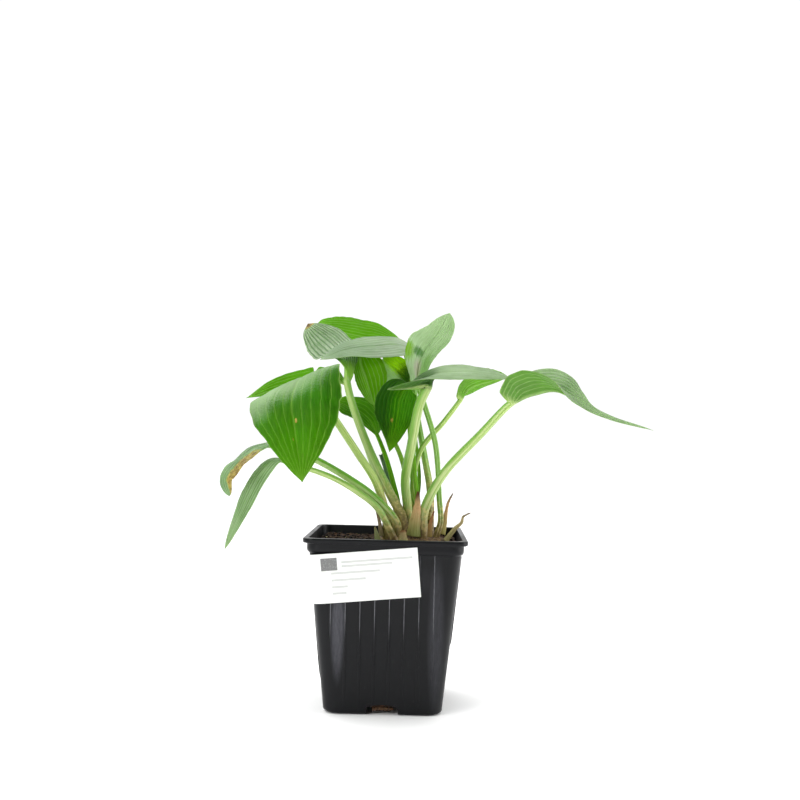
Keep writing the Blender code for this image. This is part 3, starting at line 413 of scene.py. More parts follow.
def mesh_from(name, parts, attributes=None):
    """One mesh from parts, each (points in mm, list of faces), with vector attributes by vertex."""
    points = np.concatenate([p for p, _ in parts])
    faces, start = [], 0
    for p, f in parts:
        faces += [[int(i) + start for i in face] for face in f]
        start += len(p)
    mesh = bpy.data.meshes.new(name)
    mesh.from_pydata((points * MM).tolist(), [], faces)
    for key, values in (attributes or {}).items():
        layer = mesh.attributes.new(key, "FLOAT_VECTOR", "POINT")
        layer.data.foreach_set("vector", np.asarray(values, np.float32).ravel())
    return mesh


def ring_part(rings, flip=False):
    """Points and faces of a closed skin through rings, capped at both ends."""
    rings = np.asarray(rings, float)
    rows, count = rings.shape[:2]
    faces = grid_faces(rows, count)
    first, last = list(range(count))[::-1], list(range((rows - 1) * count, rows * count))
    if flip:
        faces = faces[:, ::-1]
        first, last = first[::-1], last[::-1]
    return rings.reshape(-1, 3), [*faces.tolist(), first, last]


def facing_out(rings):
    """Whether the skin through rings encloses a positive volume."""
    points, faces = ring_part(rings)
    quads = np.array(faces[:-2])
    a, b, c, d = (points[quads[:, k]] for k in range(4))
    return (np.cross(a, b) * c).sum() + (np.cross(a, c) * d).sum() > 0


def outward_part(rings):
    """Points and faces of a closed skin through rings, its faces pointing out."""
    return ring_part(rings, flip=not facing_out(rings))


def skin(name, rings, material, node=None, attributes=None):
    """A closed object through rings, turned to face outwards."""
    return add_object(name, mesh_from(name, [outward_part(rings)], attributes), material, node)


def by_point(rows, count, *columns):
    """A vector for each point of rows rings of count points, from values by ring or by place."""
    return np.stack([np.broadcast_to(c, (rows, count)) for c in columns], axis=-1).reshape(-1, 3)


def tube(line, radius, sides=10):
    """Rings of a round tube along points, with one radius for each."""
    ahead = unit(np.gradient(line, axis=0))
    guide = np.array([0.2, 1.0, 0.13])
    side = unit(np.cross(ahead, guide))
    other = np.cross(ahead, side)
    angle = np.linspace(0, 2 * math.pi, sides, endpoint=False)
    ring = np.cos(angle)[None, :, None] * side[:, None] + np.sin(angle)[None, :, None] * other[:, None]
    return line[:, None] + np.asarray(radius)[:, None, None] * ring


# ---------------------------------------------------------------- material building blocks
class Look:
    """A new material and short ways to add nodes to it."""

    def __init__(self, name):
        self.material = bpy.data.materials.new(name)
        self.material.use_nodes = True
        self.tree = self.material.node_tree
        self.shader = self.tree.nodes["Principled BSDF"]
        self.output = self.tree.nodes["Material Output"]

    def node(self, kind, **settings):
        made = self.tree.nodes.new("ShaderNode" + kind)
        for key, value in settings.items():
            setattr(made, key, value)
        return made

    def put(self, socket, value):
        """Links a socket, or sets the socket's own value."""
        if isinstance(value, bpy.types.NodeSocket):
            self.tree.links.new(value, socket)
        elif isinstance(value, (tuple, list)) and len(value) == 3 and socket.type == "RGBA":
            socket.default_value = (*value, 1.0)
        else:
            socket.default_value = value

    def math(self, operation, a, b=0.0):
        made = self.node("Math", operation=operation)
        for socket, value in zip(made.inputs, (a, b)):
            self.put(socket, value)
        return made.outputs[0]

    def times(self, a, b):
        return self.math("MULTIPLY", a, b)

    def plus(self, a, b):
        return self.math("ADD", a, b)

    def minus(self, a, b):
        return self.math("SUBTRACT", a, b)

    def over(self, a, b):
        return self.math("DIVIDE", a, b)

    def larger(self, a, b):
        return self.math("MAXIMUM", a, b)

    def rest(self, a):
        """What a leaves of 1."""
        return self.minus(1.0, a)

    def from_spot(self, x, y, spot):
        """Squared distance of (x, y) from a spot (middle x, middle y, half width, half height)."""
        dx = self.over(self.minus(x, spot[0]), spot[2])
        dy = self.over(self.minus(y, spot[1]), spot[3])
        return self.plus(self.times(dx, dx), self.times(dy, dy))

    def span(self, value, low, high, out_low=0.0, out_high=1.0):
        """Smooth change from out_low to out_high as value goes from low to high."""
        made = self.node("MapRange", interpolation_type="SMOOTHSTEP")
        for socket, v in zip(made.inputs, (value, low, high, out_low, out_high)):
            self.put(socket, v)
        return made.outputs[0]

    def mix(self, share, a, b):
        made = self.node("Mix", data_type="RGBA")
        self.put(made.inputs[0], share)
        self.put(made.inputs[6], a)
        self.put(made.inputs[7], b)
        return made.outputs[2]

    def tint(self, colour, share, power, towards):
        """The colour, mixed towards another by share times power."""
        return self.mix(self.times(share, power), colour, towards)

    def split(self, vector):
        parts = self.node("SeparateXYZ")
        self.put(parts.inputs[0], vector)
        return parts.outputs

    def attribute(self, name):
        return self.split(self.node("Attribute", attribute_name=name).outputs["Vector"])

    def vector(self, x, y, z):
        made = self.node("CombineXYZ")
        for socket, value in zip(made.inputs, (x, y, z)):
            self.put(socket, value)
        return made.outputs[0]

    def place(self, sx, sy=None, sz=None, offset=0.0):
        """Object coordinates in mm, divided by a size in mm along each axis."""
        where = self.node("TexCoord")
        made = self.node("Mapping")
        self.put(made.inputs["Vector"], where.outputs["Object"])
        made.inputs["Location"].default_value = (offset, offset * 0.7, offset * 0.3)
        made.inputs["Scale"].default_value = tuple(1000.0 / s for s in (sx, sy or sx, sz or sx))
        return made.outputs[0]

    def noise(self, vector, detail=3.0, rough=0.55):
        made = self.node("TexNoise")
        self.put(made.inputs["Vector"], vector)
        made.inputs["Scale"].default_value = 1.0
        made.inputs["Detail"].default_value = detail
        made.inputs["Roughness"].default_value = rough
        return made.outputs["Fac"]

    def streaks(self, x, y, scales, layer, detail, rough):
        """Noise over x and y, each times its scale; a larger scale gives finer marks."""
        at = self.vector(self.times(x, scales[0]), self.times(y, scales[1]), layer)
        return self.noise(at, detail, rough)

    def bump(self, height, distance, strength=1.0):
        """A bump from height (0 to 1) that stands distance mm proud."""
        made = self.node("Bump")
        made.inputs["Strength"].default_value = strength
        made.inputs["Distance"].default_value = distance * MM
        self.put(made.inputs["Height"], height)
        return made.outputs[0]

    def finish(self, colour, roughness, normal=None, **fixed):
        self.put(self.shader.inputs["Base Color"], colour)
        self.put(self.shader.inputs["Roughness"], roughness)
        if normal is not None:
            self.put(self.shader.inputs["Normal"], normal)
        for key, value in fixed.items():
            self.shader.inputs[key.replace("_", " ")].default_value = value

    def let_through(self, share, colour, normal=None):
        """Adds the light that comes through a thin piece from behind."""
        glow = self.node("BsdfTranslucent")
        self.put(glow.inputs["Color"], colour)
        if normal is not None:
            self.put(glow.inputs["Normal"], normal)
        both = self.node("MixShader")
        for socket, value in zip(both.inputs, (share, self.shader.outputs[0], glow.outputs[0])):
            self.put(socket, value)
        self.put(self.output.inputs["Surface"], both.outputs[0])


# ---------------------------------------------------------------- leaf material
def leaf_material(name, look, seed):
    """Living leaf: veins, streaks, waxy bloom, a paler underside, a pale stalk, brown places, painted shade
    between the pleats, and painted highlights, sheen, shade and glow in places.
    """
    m = Look(name + "_tissue")
    s, t, under = m.attribute("blade")
    q, half, ring = m.attribute("stalk")
    side = m.math("ABSOLUTE", s)
    on_blade = m.span(t, 0.005, 0.07)

    veins = float(look["veins"])
    between = m.math("PINGPONG", m.times(side, veins), 0.5)
    from_vein = m.over(m.times(between, half), veins)
    wander = m.noise(m.place(3.0, offset=seed), 2.0)
    width = m.span(wander, 0.3, 0.7, 0.28, 0.5)
    line = m.rest(m.span(m.over(from_vein, width), 0.15, 1.0))
    mid_width = m.plus(0.35, m.times(m.rest(t), 0.9))
    middle = m.rest(m.span(m.over(m.times(side, half), mid_width), 0.45, 1.0))
    vein = m.larger(line, middle)

    across_mm = m.times(s, half)
    streak = m.streaks(across_mm, t, (1.6, 2.2), seed * 3.7, 3.0, 0.6)
    fine = m.streaks(across_mm, t, (5.0, 9.0), seed * 1.3, 2.0, 0.6)
    cloud = m.noise(m.place(16.0, offset=seed * 1.7), 3.0, 0.55)
    speck = m.noise(m.place(0.9, offset=seed), 2.0, 0.7)

    tone = m.plus(m.times(cloud, 0.55), m.times(streak, 0.45))
    shade = m.span(tone, 0.36, 0.64)
    top = m.mix(shade, srgb(*look["dark"]), srgb(*look["light"]))
    young = m.span(t, 0.6, 1.0, 0.0, 0.0 if look["bloom"] else 0.5)
    top = m.mix(young, top, srgb(96, 160, 8))
    top = m.tint(top, m.span(fine, 0.35, 0.7), 0.18, srgb(*look["vein"]))
    top = m.tint(top, vein, 0.36, srgb(*look["vein"]))

    # Painted shade: the lines between the pleats darken towards a deeper green, as shade in the furrows.
    furrow_shade = m.times(m.span(between, 0.12, 0.46), look["furrow_shade"])
    furrow_shade_colour = srgb(*look["furrow_shade_colour"]) if look["furrow_shade_colour"] else tuple(0.42 * c for c in srgb(*look["dark"]))
    top = m.mix(furrow_shade, top, furrow_shade_colour)

    below = m.mix(shade, tuple(0.72 * c for c in srgb(*look["under"])), srgb(*look["under"]))
    below = m.tint(below, vein, 0.5, srgb(178, 206, 128))
    blade = m.mix(under, top, below)
    margin = m.times(m.span(side, 0.965, 0.995), 0.45)
    blade = m.mix(margin, blade, srgb(170, 196, 110))

    stalk_streak = m.streaks(ring, q, (7.0, 2.0), seed * 2.1, 4.0, 0.65)
    stalk = m.mix(m.span(stalk_streak, 0.35, 0.68), *(srgb(*c) for c in look["stalk"]))
    channel = m.times(m.rest(under), look["channel"])
    stalk = m.mix(channel, stalk, srgb(92, 156, 10))
    near, far, strength = look["husk"]
    mottle = m.noise(m.place(2.4, offset=seed * 4.3), 3.0, 0.7)
    along_stalk = m.plus(q, m.times(m.minus(mottle, 0.5), 0.5))
    base = m.rest(m.span(along_stalk, near, far))
    husk = m.mix(m.span(mottle, 0.36, 0.62), srgb(222, 198, 128), srgb(132, 92, 52))
    stalk = m.tint(stalk, base, strength, husk)
    foot = m.rest(m.span(m.plus(q, m.times(fine, 0.22)), 0.08, 0.27))
    stalk = m.tint(stalk, foot, 0.75, srgb(98, 62, 36))
    colour = m.mix(on_blade, stalk, blade)
    # Painted light: each shade entry paints a highlight, a sheen, a shade or the glow of light through the
    # blade into the colour; a few are the leaf's own tints.
    for *spot, power, tint in look["shade"]:
        ragged = m.times(m.minus(m.plus(streak, speck), 1.0), 1.1)
        reach = m.plus(m.from_spot(s, t, spot), ragged)
        here = m.times(m.rest(m.span(reach, 0.1, 1.3)), power)
        colour = m.tint(colour, here, on_blade, srgb(*tint))

    dead = None
    for *spot, power in look["brown"]:
        reach = m.plus(m.from_spot(s, t, spot), m.times(m.minus(speck, 0.5), 1.2))
        here = m.times(m.rest(m.span(reach, 0.55, 1.1)), power)
        dead = here if dead is None else m.larger(dead, here)
    if dead is not None:
        rust = m.mix(m.span(m.noise(m.place(2.2, offset=seed * 2), 4.0, 0.7), 0.35, 0.65),
                     srgb(120, 72, 30), srgb(206, 176, 92))
        ring_edge = m.times(m.span(dead, 0.02, 0.35), 0.8)
        colour = m.mix(ring_edge, colour, srgb(190, 186, 70))
        colour = m.mix(m.span(dead, 0.3, 0.8), colour, rust)

    quilt = m.times(m.noise(m.place(0.55, offset=seed), 2.0, 0.5), 0.35)
    height = m.plus(m.plus(quilt, m.times(fine, 0.5)),
                    m.times(vein, m.minus(m.times(under, 1.2), 0.6)))
    normal = m.bump(height, 0.16, 0.7)
    rough = m.span(m.noise(m.place(5.0, offset=seed * 3), 3.0), 0.3, 0.7, 0.34, 0.47)
    rough = m.plus(rough, m.times(under, 0.12))
    m.finish(colour, rough, normal, Sheen_Weight=look["bloom"] * 0.5, Sheen_Roughness=0.5,
             Specular_IOR_Level=0.5 if look["bloom"] else 0.06)

    stalk_through = 0.06
    share = m.plus(stalk_through, m.times(on_blade, look["through"] - stalk_through))
    m.let_through(share, m.mix(look["lit"], colour, srgb(170, 226, 20)), normal)
    return m.material


# ---------------------------------------------------------------- leaves
PETIOLE_ROWS = 80
BLADE_ROWS = 130
STRIPS = 36


def leaf_surface(leaf, look, seed):
    """Middle surface of one leaf as rows of points, with what its parts need to know."""
    stem = [tuple(map(float, p)) for p in leaf["petiole"]]
    first, second = np.array(stem[0]), np.array(stem[1])
    sunk = first - 3.4 * (second - first) / np.linalg.norm(second - first)
    path = smooth_line([tuple(sunk)] + stem + leaf["midrib"], 900)
    joint = np.argmin(np.linalg.norm(path - np.asarray(leaf["midrib"][0], float), axis=1))
    run = np.r_[0, np.cumsum(np.linalg.norm(np.diff(path, axis=0), axis=1))]
    stalk, total = run[joint], run[-1]
    eased = np.linspace(0, 1, BLADE_ROWS + 1)
    eased = eased - 0.08 * np.sin(2 * math.pi * eased) / (2 * math.pi)
    rows = np.r_[np.linspace(0, stalk, PETIOLE_ROWS + 1)[:-1], stalk + (total - stalk) * eased]
    centre = np.stack([np.interp(rows, run, path[:, k]) for k in range(3)], axis=1)
    slope = unit(np.gradient(path, axis=0))
    ahead = unit(np.stack([np.interp(rows, run, slope[:, k]) for k in range(3)], axis=1))
    t = np.clip((rows - stalk) / (total - stalk), 0, 1)
    q = np.clip(rows / stalk, 0, 1)

    up = along(leaf["up"], t)
    up = unit(up - (up * ahead).sum(1)[:, None] * ahead)
    for i in range(PETIOLE_ROWS - 1, -1, -1):
        up[i] = unit(up[i + 1] - np.dot(up[i + 1], ahead[i]) * ahead[i])
    right = np.cross(ahead, up)

    r_low, r_top = leaf["r"]
    radius = (r_low + (r_top - r_low) * q) * (1 + 0.16 * np.exp(-(q / 0.07) ** 2))
    width, widths = half_widths(leaf, t)
    spread = ease(t / 0.12)
    chord = unit(np.subtract(leaf["midrib"][-1], leaf["midrib"][0]).astype(float))
    levels = np.r_[np.linspace(0, 0.972, STRIPS), 1.0]
    surface = np.zeros((len(rows), 2 * STRIPS + 1, 3))
    surface[:, STRIPS] = centre
    halves = np.zeros((len(rows), 2 * STRIPS + 1))
    for k, side in enumerate((-1, 1)):
        ragged = 1 + 0.012 * np.sin(t * 31 + seed + k) + 0.008 * np.sin(t * 67 + 2 * seed)
        half = np.maximum(radius * 0.95 * np.sqrt(1 - t), widths[k] * ragged)
        for bite_side, at, size, depth in look.get("bites", ()):
            if bite_side == side:
                half = half * (1 - depth * np.exp(-((t - at) / size) ** 4))
        half = np.maximum(half, 0.2)
        fold = np.radians(along(leaf["fold"][k], t)) * spread
        curl = np.radians(along(leaf["curl"][k], t)) * spread
        back = leaf.get("lobe", (0, 0))[k] * np.clip(1 - t / 0.35, 0, 1) ** 2
        back = back * np.minimum(1, 3 * (width - width[0]))
        edge = centre.copy()
        halves[:, STRIPS] = half
        for j in range(1, STRIPS + 1):
            low, high = levels[j - 1], levels[j]
            angle = fold + curl * (low + high) / 2
            step = side * np.cos(angle)[:, None] * right + np.sin(angle)[:, None] * up
            edge = edge + (half * (high - low))[:, None] * step
            surface[:, STRIPS + side * j] = edge - (back * high ** 1.5)[:, None] * chord
            halves[:, STRIPS + side * j] = half
    s = np.r_[-levels[:0:-1], levels]
    return surface, up, t, q, s, radius, halves


def make_leaf(name, leaf, index):
    """One leaf with its stalk: pleated blade, sunk midrib above and round one below."""
    look = {**PLAIN, **LEAF_LOOKS[name]}
    seed = 1.0 + index
    surface, up, t, q, s, radius, halves = leaf_surface(leaf, look, seed)
    normal = -np.cross(np.gradient(surface, axis=0), np.gradient(surface, axis=1))
    normal = np.where(np.linalg.norm(normal, axis=2, keepdims=True) > 1e-7, unit(normal), up[:, None])
    normal[t <= 0] = up[t <= 0][:, None]

    veins = look["veins"]
    wide = np.clip(halves / 9.0, 0, 1)
    pleat = np.abs(np.sin(math.pi * veins * s))[None, :] ** 0.7 - 0.55
    fade = (ease((t - 0.03) / 0.2) * ease((1 - t) / 0.10))[:, None] * (1 - np.abs(s) ** 8)[None, :]
    lift = look["pleat"] * pleat * wide * fade
    wave = look["wave"] * np.sin(
        2 * math.pi * (2.6 * t[:, None] + 0.23 * seed + 0.35 * np.sign(s)[None, :]))
    lift = lift + wave * (np.abs(s) ** 3)[None, :] * ease((t - 0.1) / 0.2)[:, None] * wide
    coarse = value_noise(surface[::4, ::4], 11.0, seed, 2)
    rows_at = np.arange(len(t)) / 4.0
    cols_at = np.arange(len(s)) / 4.0
    wide_rows = np.stack([np.interp(rows_at, np.arange(coarse.shape[0]), coarse[:, c])
                          for c in range(coarse.shape[1])], axis=1)
    lumps = np.stack([np.interp(cols_at, np.arange(coarse.shape[1]), row) for row in wide_rows])
    lift = lift + look.get("lumps", 0.4) * lumps * fade * wide
    surface = surface + normal * (lift * (t > 0)[:, None])[..., None]

    bulge = np.sqrt(np.clip(1 - s ** 2, 0, 1))
    flat = ease(t / 0.10)[:, None]
    mm = np.abs(s)[None, :] * halves
    narrow = (np.clip(1 - t, 0, 1) ** 0.8 * radius)[:, None]
    rib = 0.85 * narrow * np.exp(-(mm / (0.8 * narrow + 0.15)) ** 2)
    sink = 0.35 * np.clip(1 - t, 0, 1)[:, None] * np.exp(-(mm / (0.5 * narrow + 0.2)) ** 2)
    skin_half = BLADE_THICK * (0.35 + 0.65 * bulge) / 2
    above = ((1 - flat) * radius[:, None] * (0.75 * bulge - 0.25 * np.exp(-(s / 0.35) ** 2))
             + flat * (skin_half - sink))
    below = (1 - flat) * radius[:, None] * 1.1 * bulge + flat * (skin_half + rib)
    grain = 1 + 0.03 * np.sin(9 * s + 3 * seed)[None, :] * (1 - flat)
    thin = np.clip((1 - t) / 0.06, 0.3, 1)[:, None]
    top = surface + normal * (above * thin * grain)[..., None]
    bottom = surface - normal * (below * thin * grain)[..., None]
    rings = np.concatenate([surface[:, :1], top[:, 1:-1], surface[:, -1:], bottom[:, -2:0:-1]], axis=1)

    s_ring = np.r_[s, s[-2:0:-1]]
    under = np.r_[0.5, np.zeros(len(s) - 2), 0.5, np.ones(len(s) - 2)]
    half_ring = np.concatenate([halves, halves[:, -2:0:-1]], axis=1)
    shape = half_ring.shape
    turn = 3 * np.abs(np.linspace(-1, 1, shape[1]))
    skin(name + "_visual", rings, leaf_material(name, look, seed), name,
         dict(blade=by_point(*shape, s_ring, t[:, None], under),
              stalk=by_point(*shape, q[:, None], half_ring, turn)))


# ---------------------------------------------------------------- dry sheaths, stub and roots
def papery_material(name, look, seed):
    """Dry fibrous sheath: long fibres, a darker tip and faint blotches."""
    m = Look(name + "_husk")
    s, t, _ = m.attribute("strip")
    pale, dark, tip = (srgb(*look[key]) for key in ("pale", "dark", "tip"))
    fibre = m.streaks(s, t, (9.0, 1.4), seed, 4.0, 0.7)
    blotch = m.noise(m.place(2.5, offset=seed), 4.0, 0.65)
    colour = m.mix(m.span(fibre, 0.32, 0.68), pale, dark)
    colour = m.tint(colour, m.span(blotch, 0.5, 0.74), 0.4, tuple(0.5 * c for c in dark))
    colour = m.mix(m.span(m.plus(t, m.times(fibre, 0.2)), 0.80, 1.05), colour, tip)
    colour = m.tint(colour, m.span(t, 0.0, 0.7, 1.0, 0.0), look["green"], srgb(150, 170, 90))
    normal = m.bump(m.plus(fibre, m.times(blotch, 0.4)), 0.35, 0.8)
    m.finish(colour, m.span(blotch, 0.3, 0.7, 0.6, 0.85), normal)
    m.let_through(0.28, m.mix(0.4, colour, srgb(235, 190, 120)))
    return m.material


SHEATH_LOOKS = {
    "sheath_centre": dict(pale=(240, 214, 158), dark=(214, 166, 112), tip=(104, 60, 30), frayed=0.2,
        green=0.85),
    "sheath_left": dict(pale=(178, 158, 126), dark=(128, 104, 74), tip=(128, 100, 70), frayed=0.5,
        green=0.2),
    "sheath_front_low": dict(pale=(212, 198, 146), dark=(172, 146, 94), tip=(150, 104, 60), frayed=0.5,
        green=0.4),
    "scale_left_pale": dict(pale=(200, 208, 160), dark=(160, 170, 110), tip=(178, 170, 120), frayed=0.2,
        green=0.5),
    "sheath_right": dict(pale=(220, 190, 132), dark=(190, 138, 84), tip=(128, 106, 86), frayed=0.2,
        green=0.6),
    "sheath_red": dict(pale=(206, 162, 108), dark=(170, 112, 66), tip=(140, 84, 50), frayed=0.4,
        green=0.4),
    "dry_leaf_right": dict(pale=(220, 208, 160), dark=(184, 166, 112), tip=(140, 128, 104), frayed=0.2,
        green=0.3),
}


def make_sheath(name, sheath, index):
    """A thin dry strip wrapped part of the way round a stalk, with a frayed, curling end."""
    look = SHEATH_LOOKS[name]
    seed = 31.0 + index
    rows, strips = 60, 12
    line = smooth_line(sheath["line"], rows)
    ahead = unit(np.gradient(line, axis=0))
    out = np.broadcast_to(np.asarray(sheath["out"], float), line.shape)
    out = unit(out - (out * ahead).sum(1)[:, None] * ahead)
    right = np.cross(ahead, out)
    t = np.linspace(0, 1, rows + 1)
    half = sheath["half"][1] + (sheath["half"][0] - sheath["half"][1]) * (1 - t) ** 0.8
    ragged = 1 + look["frayed"] * t * (0.22 * np.sin(t * 23 + seed) + 0.16 * np.sin(t * 51 + 2 * seed))
    half = half * ragged
    wrap = np.radians(sheath["wrap"])
    bend = half / wrap
    s = np.linspace(-1, 1, 2 * strips + 1)
    across = bend[:, None] * np.sin(wrap * s)[None, :]
    back = bend[:, None] * (1 - np.cos(wrap * s))[None, :]
    middle = line[:, None] + across[..., None] * right[:, None] - back[..., None] * out[:, None]
    facing = (np.cos(wrap * s)[None, :, None] * out[:, None]
              + np.sin(wrap * s)[None, :, None] * right[:, None])
    middle = middle + facing * (
        0.22 * value_noise(middle, 2.4, seed, 3) * (0.2 + 0.8 * t)[:, None])[..., None]
    folds = 0.10 * np.sin(s * 19 + seed)[None, :] * (1 - 0.4 * t)[:, None]
    middle = middle + facing * folds[..., None]
    thick = 0.20 * (0.5 + 0.5 * (1 - t))[:, None, None] * np.sqrt(1 - 0.7 * s ** 2)[None, :, None]
    rings = np.concatenate([middle + facing * thick, (middle - facing * thick)[:, ::-1]], axis=1)
    s_ring = np.r_[s, s[::-1]]
    inner = np.r_[np.zeros(len(s)), np.ones(len(s))]
    strip = by_point(rows + 1, len(s_ring), s_ring, t[:, None], inner)
    skin(name + "_visual", rings, papery_material(name, look, seed), name, dict(strip=strip))


def make_stub():
    """The dead stalk left where a leaf was cut: dark, shrunken and broken off square."""
    m = Look("cut_stalk_tissue")
    grain = m.noise(m.place(1.2, 1.2, 9.0), 4.0, 0.65)
    colour = m.mix(m.span(grain, 0.3, 0.7), srgb(34, 70, 44), srgb(84, 120, 66))
    z = m.attribute("strip")[1]
    colour = m.mix(m.rest(m.span(z, 0.05, 0.55)), colour, srgb(120, 152, 70))
    normal = m.bump(grain, 0.3, 0.8)
    m.finish(colour, m.span(grain, 0.3, 0.7, 0.45, 0.7), normal)
    rows, sides = 90, 20
    line = smooth_line(STUB_LINE, rows)
    t = np.linspace(0, 1, rows + 1)
    radius = STUB_R[0] + (STUB_R[1] - STUB_R[0]) * t
    rings = tube(line, radius, sides)
    angle = np.linspace(0, 2 * math.pi, sides, endpoint=False)
    flute = 1 + 0.12 * np.sin(4 * angle)[None, :] * t[:, None] + 0.05 * np.sin(7 * angle + 1)[None, :]
    rings = line[:, None] + (rings - line[:, None]) * flute[..., None]
    rings[-1] += np.array([-0.4, 0, 0.3]) * np.sin(2 * angle)[:, None]
    strip = np.zeros((rows + 1, sides, 3))
    strip[..., 1] = t[:, None]
    skin("cut_stalk_stub_visual", rings, m.material, "cut_stalk_stub",
         dict(strip=strip.reshape(-1, 3)))


def root_material(name, pale, dark):
    """Fibrous root: pale skin with darker lengthwise threads."""
    m = Look(name)
    grain = m.noise(m.place(0.8, 0.8, 0.8), 4.0, 0.7)
    colour = m.mix(m.span(grain, 0.35, 0.65), dark, pale)
    m.finish(colour, m.span(grain, 0.3, 0.7, 0.65, 0.9), m.bump(grain, 0.3, 0.9))
    return m.material


def make_roots():
    """The root that shows in the front drain notch, with side hairs."""
    material = root_material("drain_root_skin", srgb(112, 80, 50), srgb(48, 30, 18))
    rows = 70
    line = smooth_line(ROOT_LINE, rows)
    t = np.linspace(0, 1, rows + 1)
    radius = (ROOT_R[0] + (ROOT_R[1] - ROOT_R[0]) * t) * (1 + 0.12 * np.sin(t * 37) + 0.06 * np.sin(t * 83))
    parts = []
    rings = tube(line, radius, 18)
    parts.append(outward_part(rings))
    for _ in range(ROOT_HAIRS):
        i = int(rng.integers(6, rows - 6))
        start = line[i]
        way = unit(np.array([rng.uniform(-1, 1), rng.uniform(-0.2, 0.9), rng.uniform(-0.3, 0.8)]))
        reach = rng.uniform(1.6, 3.6)
        points = [start + way * reach * u + np.array([0, 0, -0.5]) * u ** 2 * 0.6
                  for u in np.linspace(0, 1, 4)]
        hair = smooth_line(points, 14)
        hair[:, 2] = np.clip(hair[:, 2], 0.5, 4.6)
        hair_rings = tube(hair, np.linspace(0.24, 0.08, 15), 6)
        parts.append(outward_part(hair_rings))
    add_object("drain_root_visual", mesh_from("drain_root_visual", parts), material, "drain_root")


# ---------------------------------------------------------------- crown and soil
def height_of_soil(x, y):
    """Top of the potting soil before its crumbs: lumpy, level round the crown."""
    reach = np.hypot((x - CROWN_CENTRE[0]) / CROWN_HALF[0], (y - CROWN_CENTRE[1]) / CROWN_HALF[1])
    lumps = np.sin(x * 0.41 + 1.3) * np.cos(y * 0.37 + 0.4) + 0.5 * np.sin(x * 0.83 + y * 0.71)
    clear = ease((reach - 1.15) / 0.35)
    return SOIL_LEVEL + 0.8 * lumps * clear - 0.6 * clear


def rounded_square(half, corner, flat_points=8, per_corner=7):
    """Points (x, y) and outward directions round a square with round corners."""
    points, ways, face = [], [], []
    for quarter in range(4):
        turn = quarter * math.pi / 2
        middle = half - corner
        local, way, place = [], [], []
        for k in range(per_corner):
            a = math.pi / 2 * k / (per_corner - 1)
            local.append((middle + corner * math.cos(a), middle + corner * math.sin(a)))
            way.append((math.cos(a), math.sin(a)))
            place.append(np.nan)
        for k in range(1, flat_points + 1):
            x = middle - 2 * middle * k / (flat_points + 1)
            local.append((x, half))
            way.append((0.0, 1.0))
            place.append(-x)
        cos, sin = math.cos(turn), math.sin(turn)
        points += [(x * cos - y * sin, x * sin + y * cos) for x, y in local]
        ways += [(x * cos - y * sin, x * sin + y * cos) for x, y in way]
        face += place
    return np.array(points), np.array(ways), np.array(face)


def wall_half(z):
    """Outer half width of the tapering wall at height z."""
    return BASE_HALF + (WALL_TOP_HALF - BASE_HALF) * z / (POT_HEIGHT - RIM_THICK - SKIRT_DEPTH)


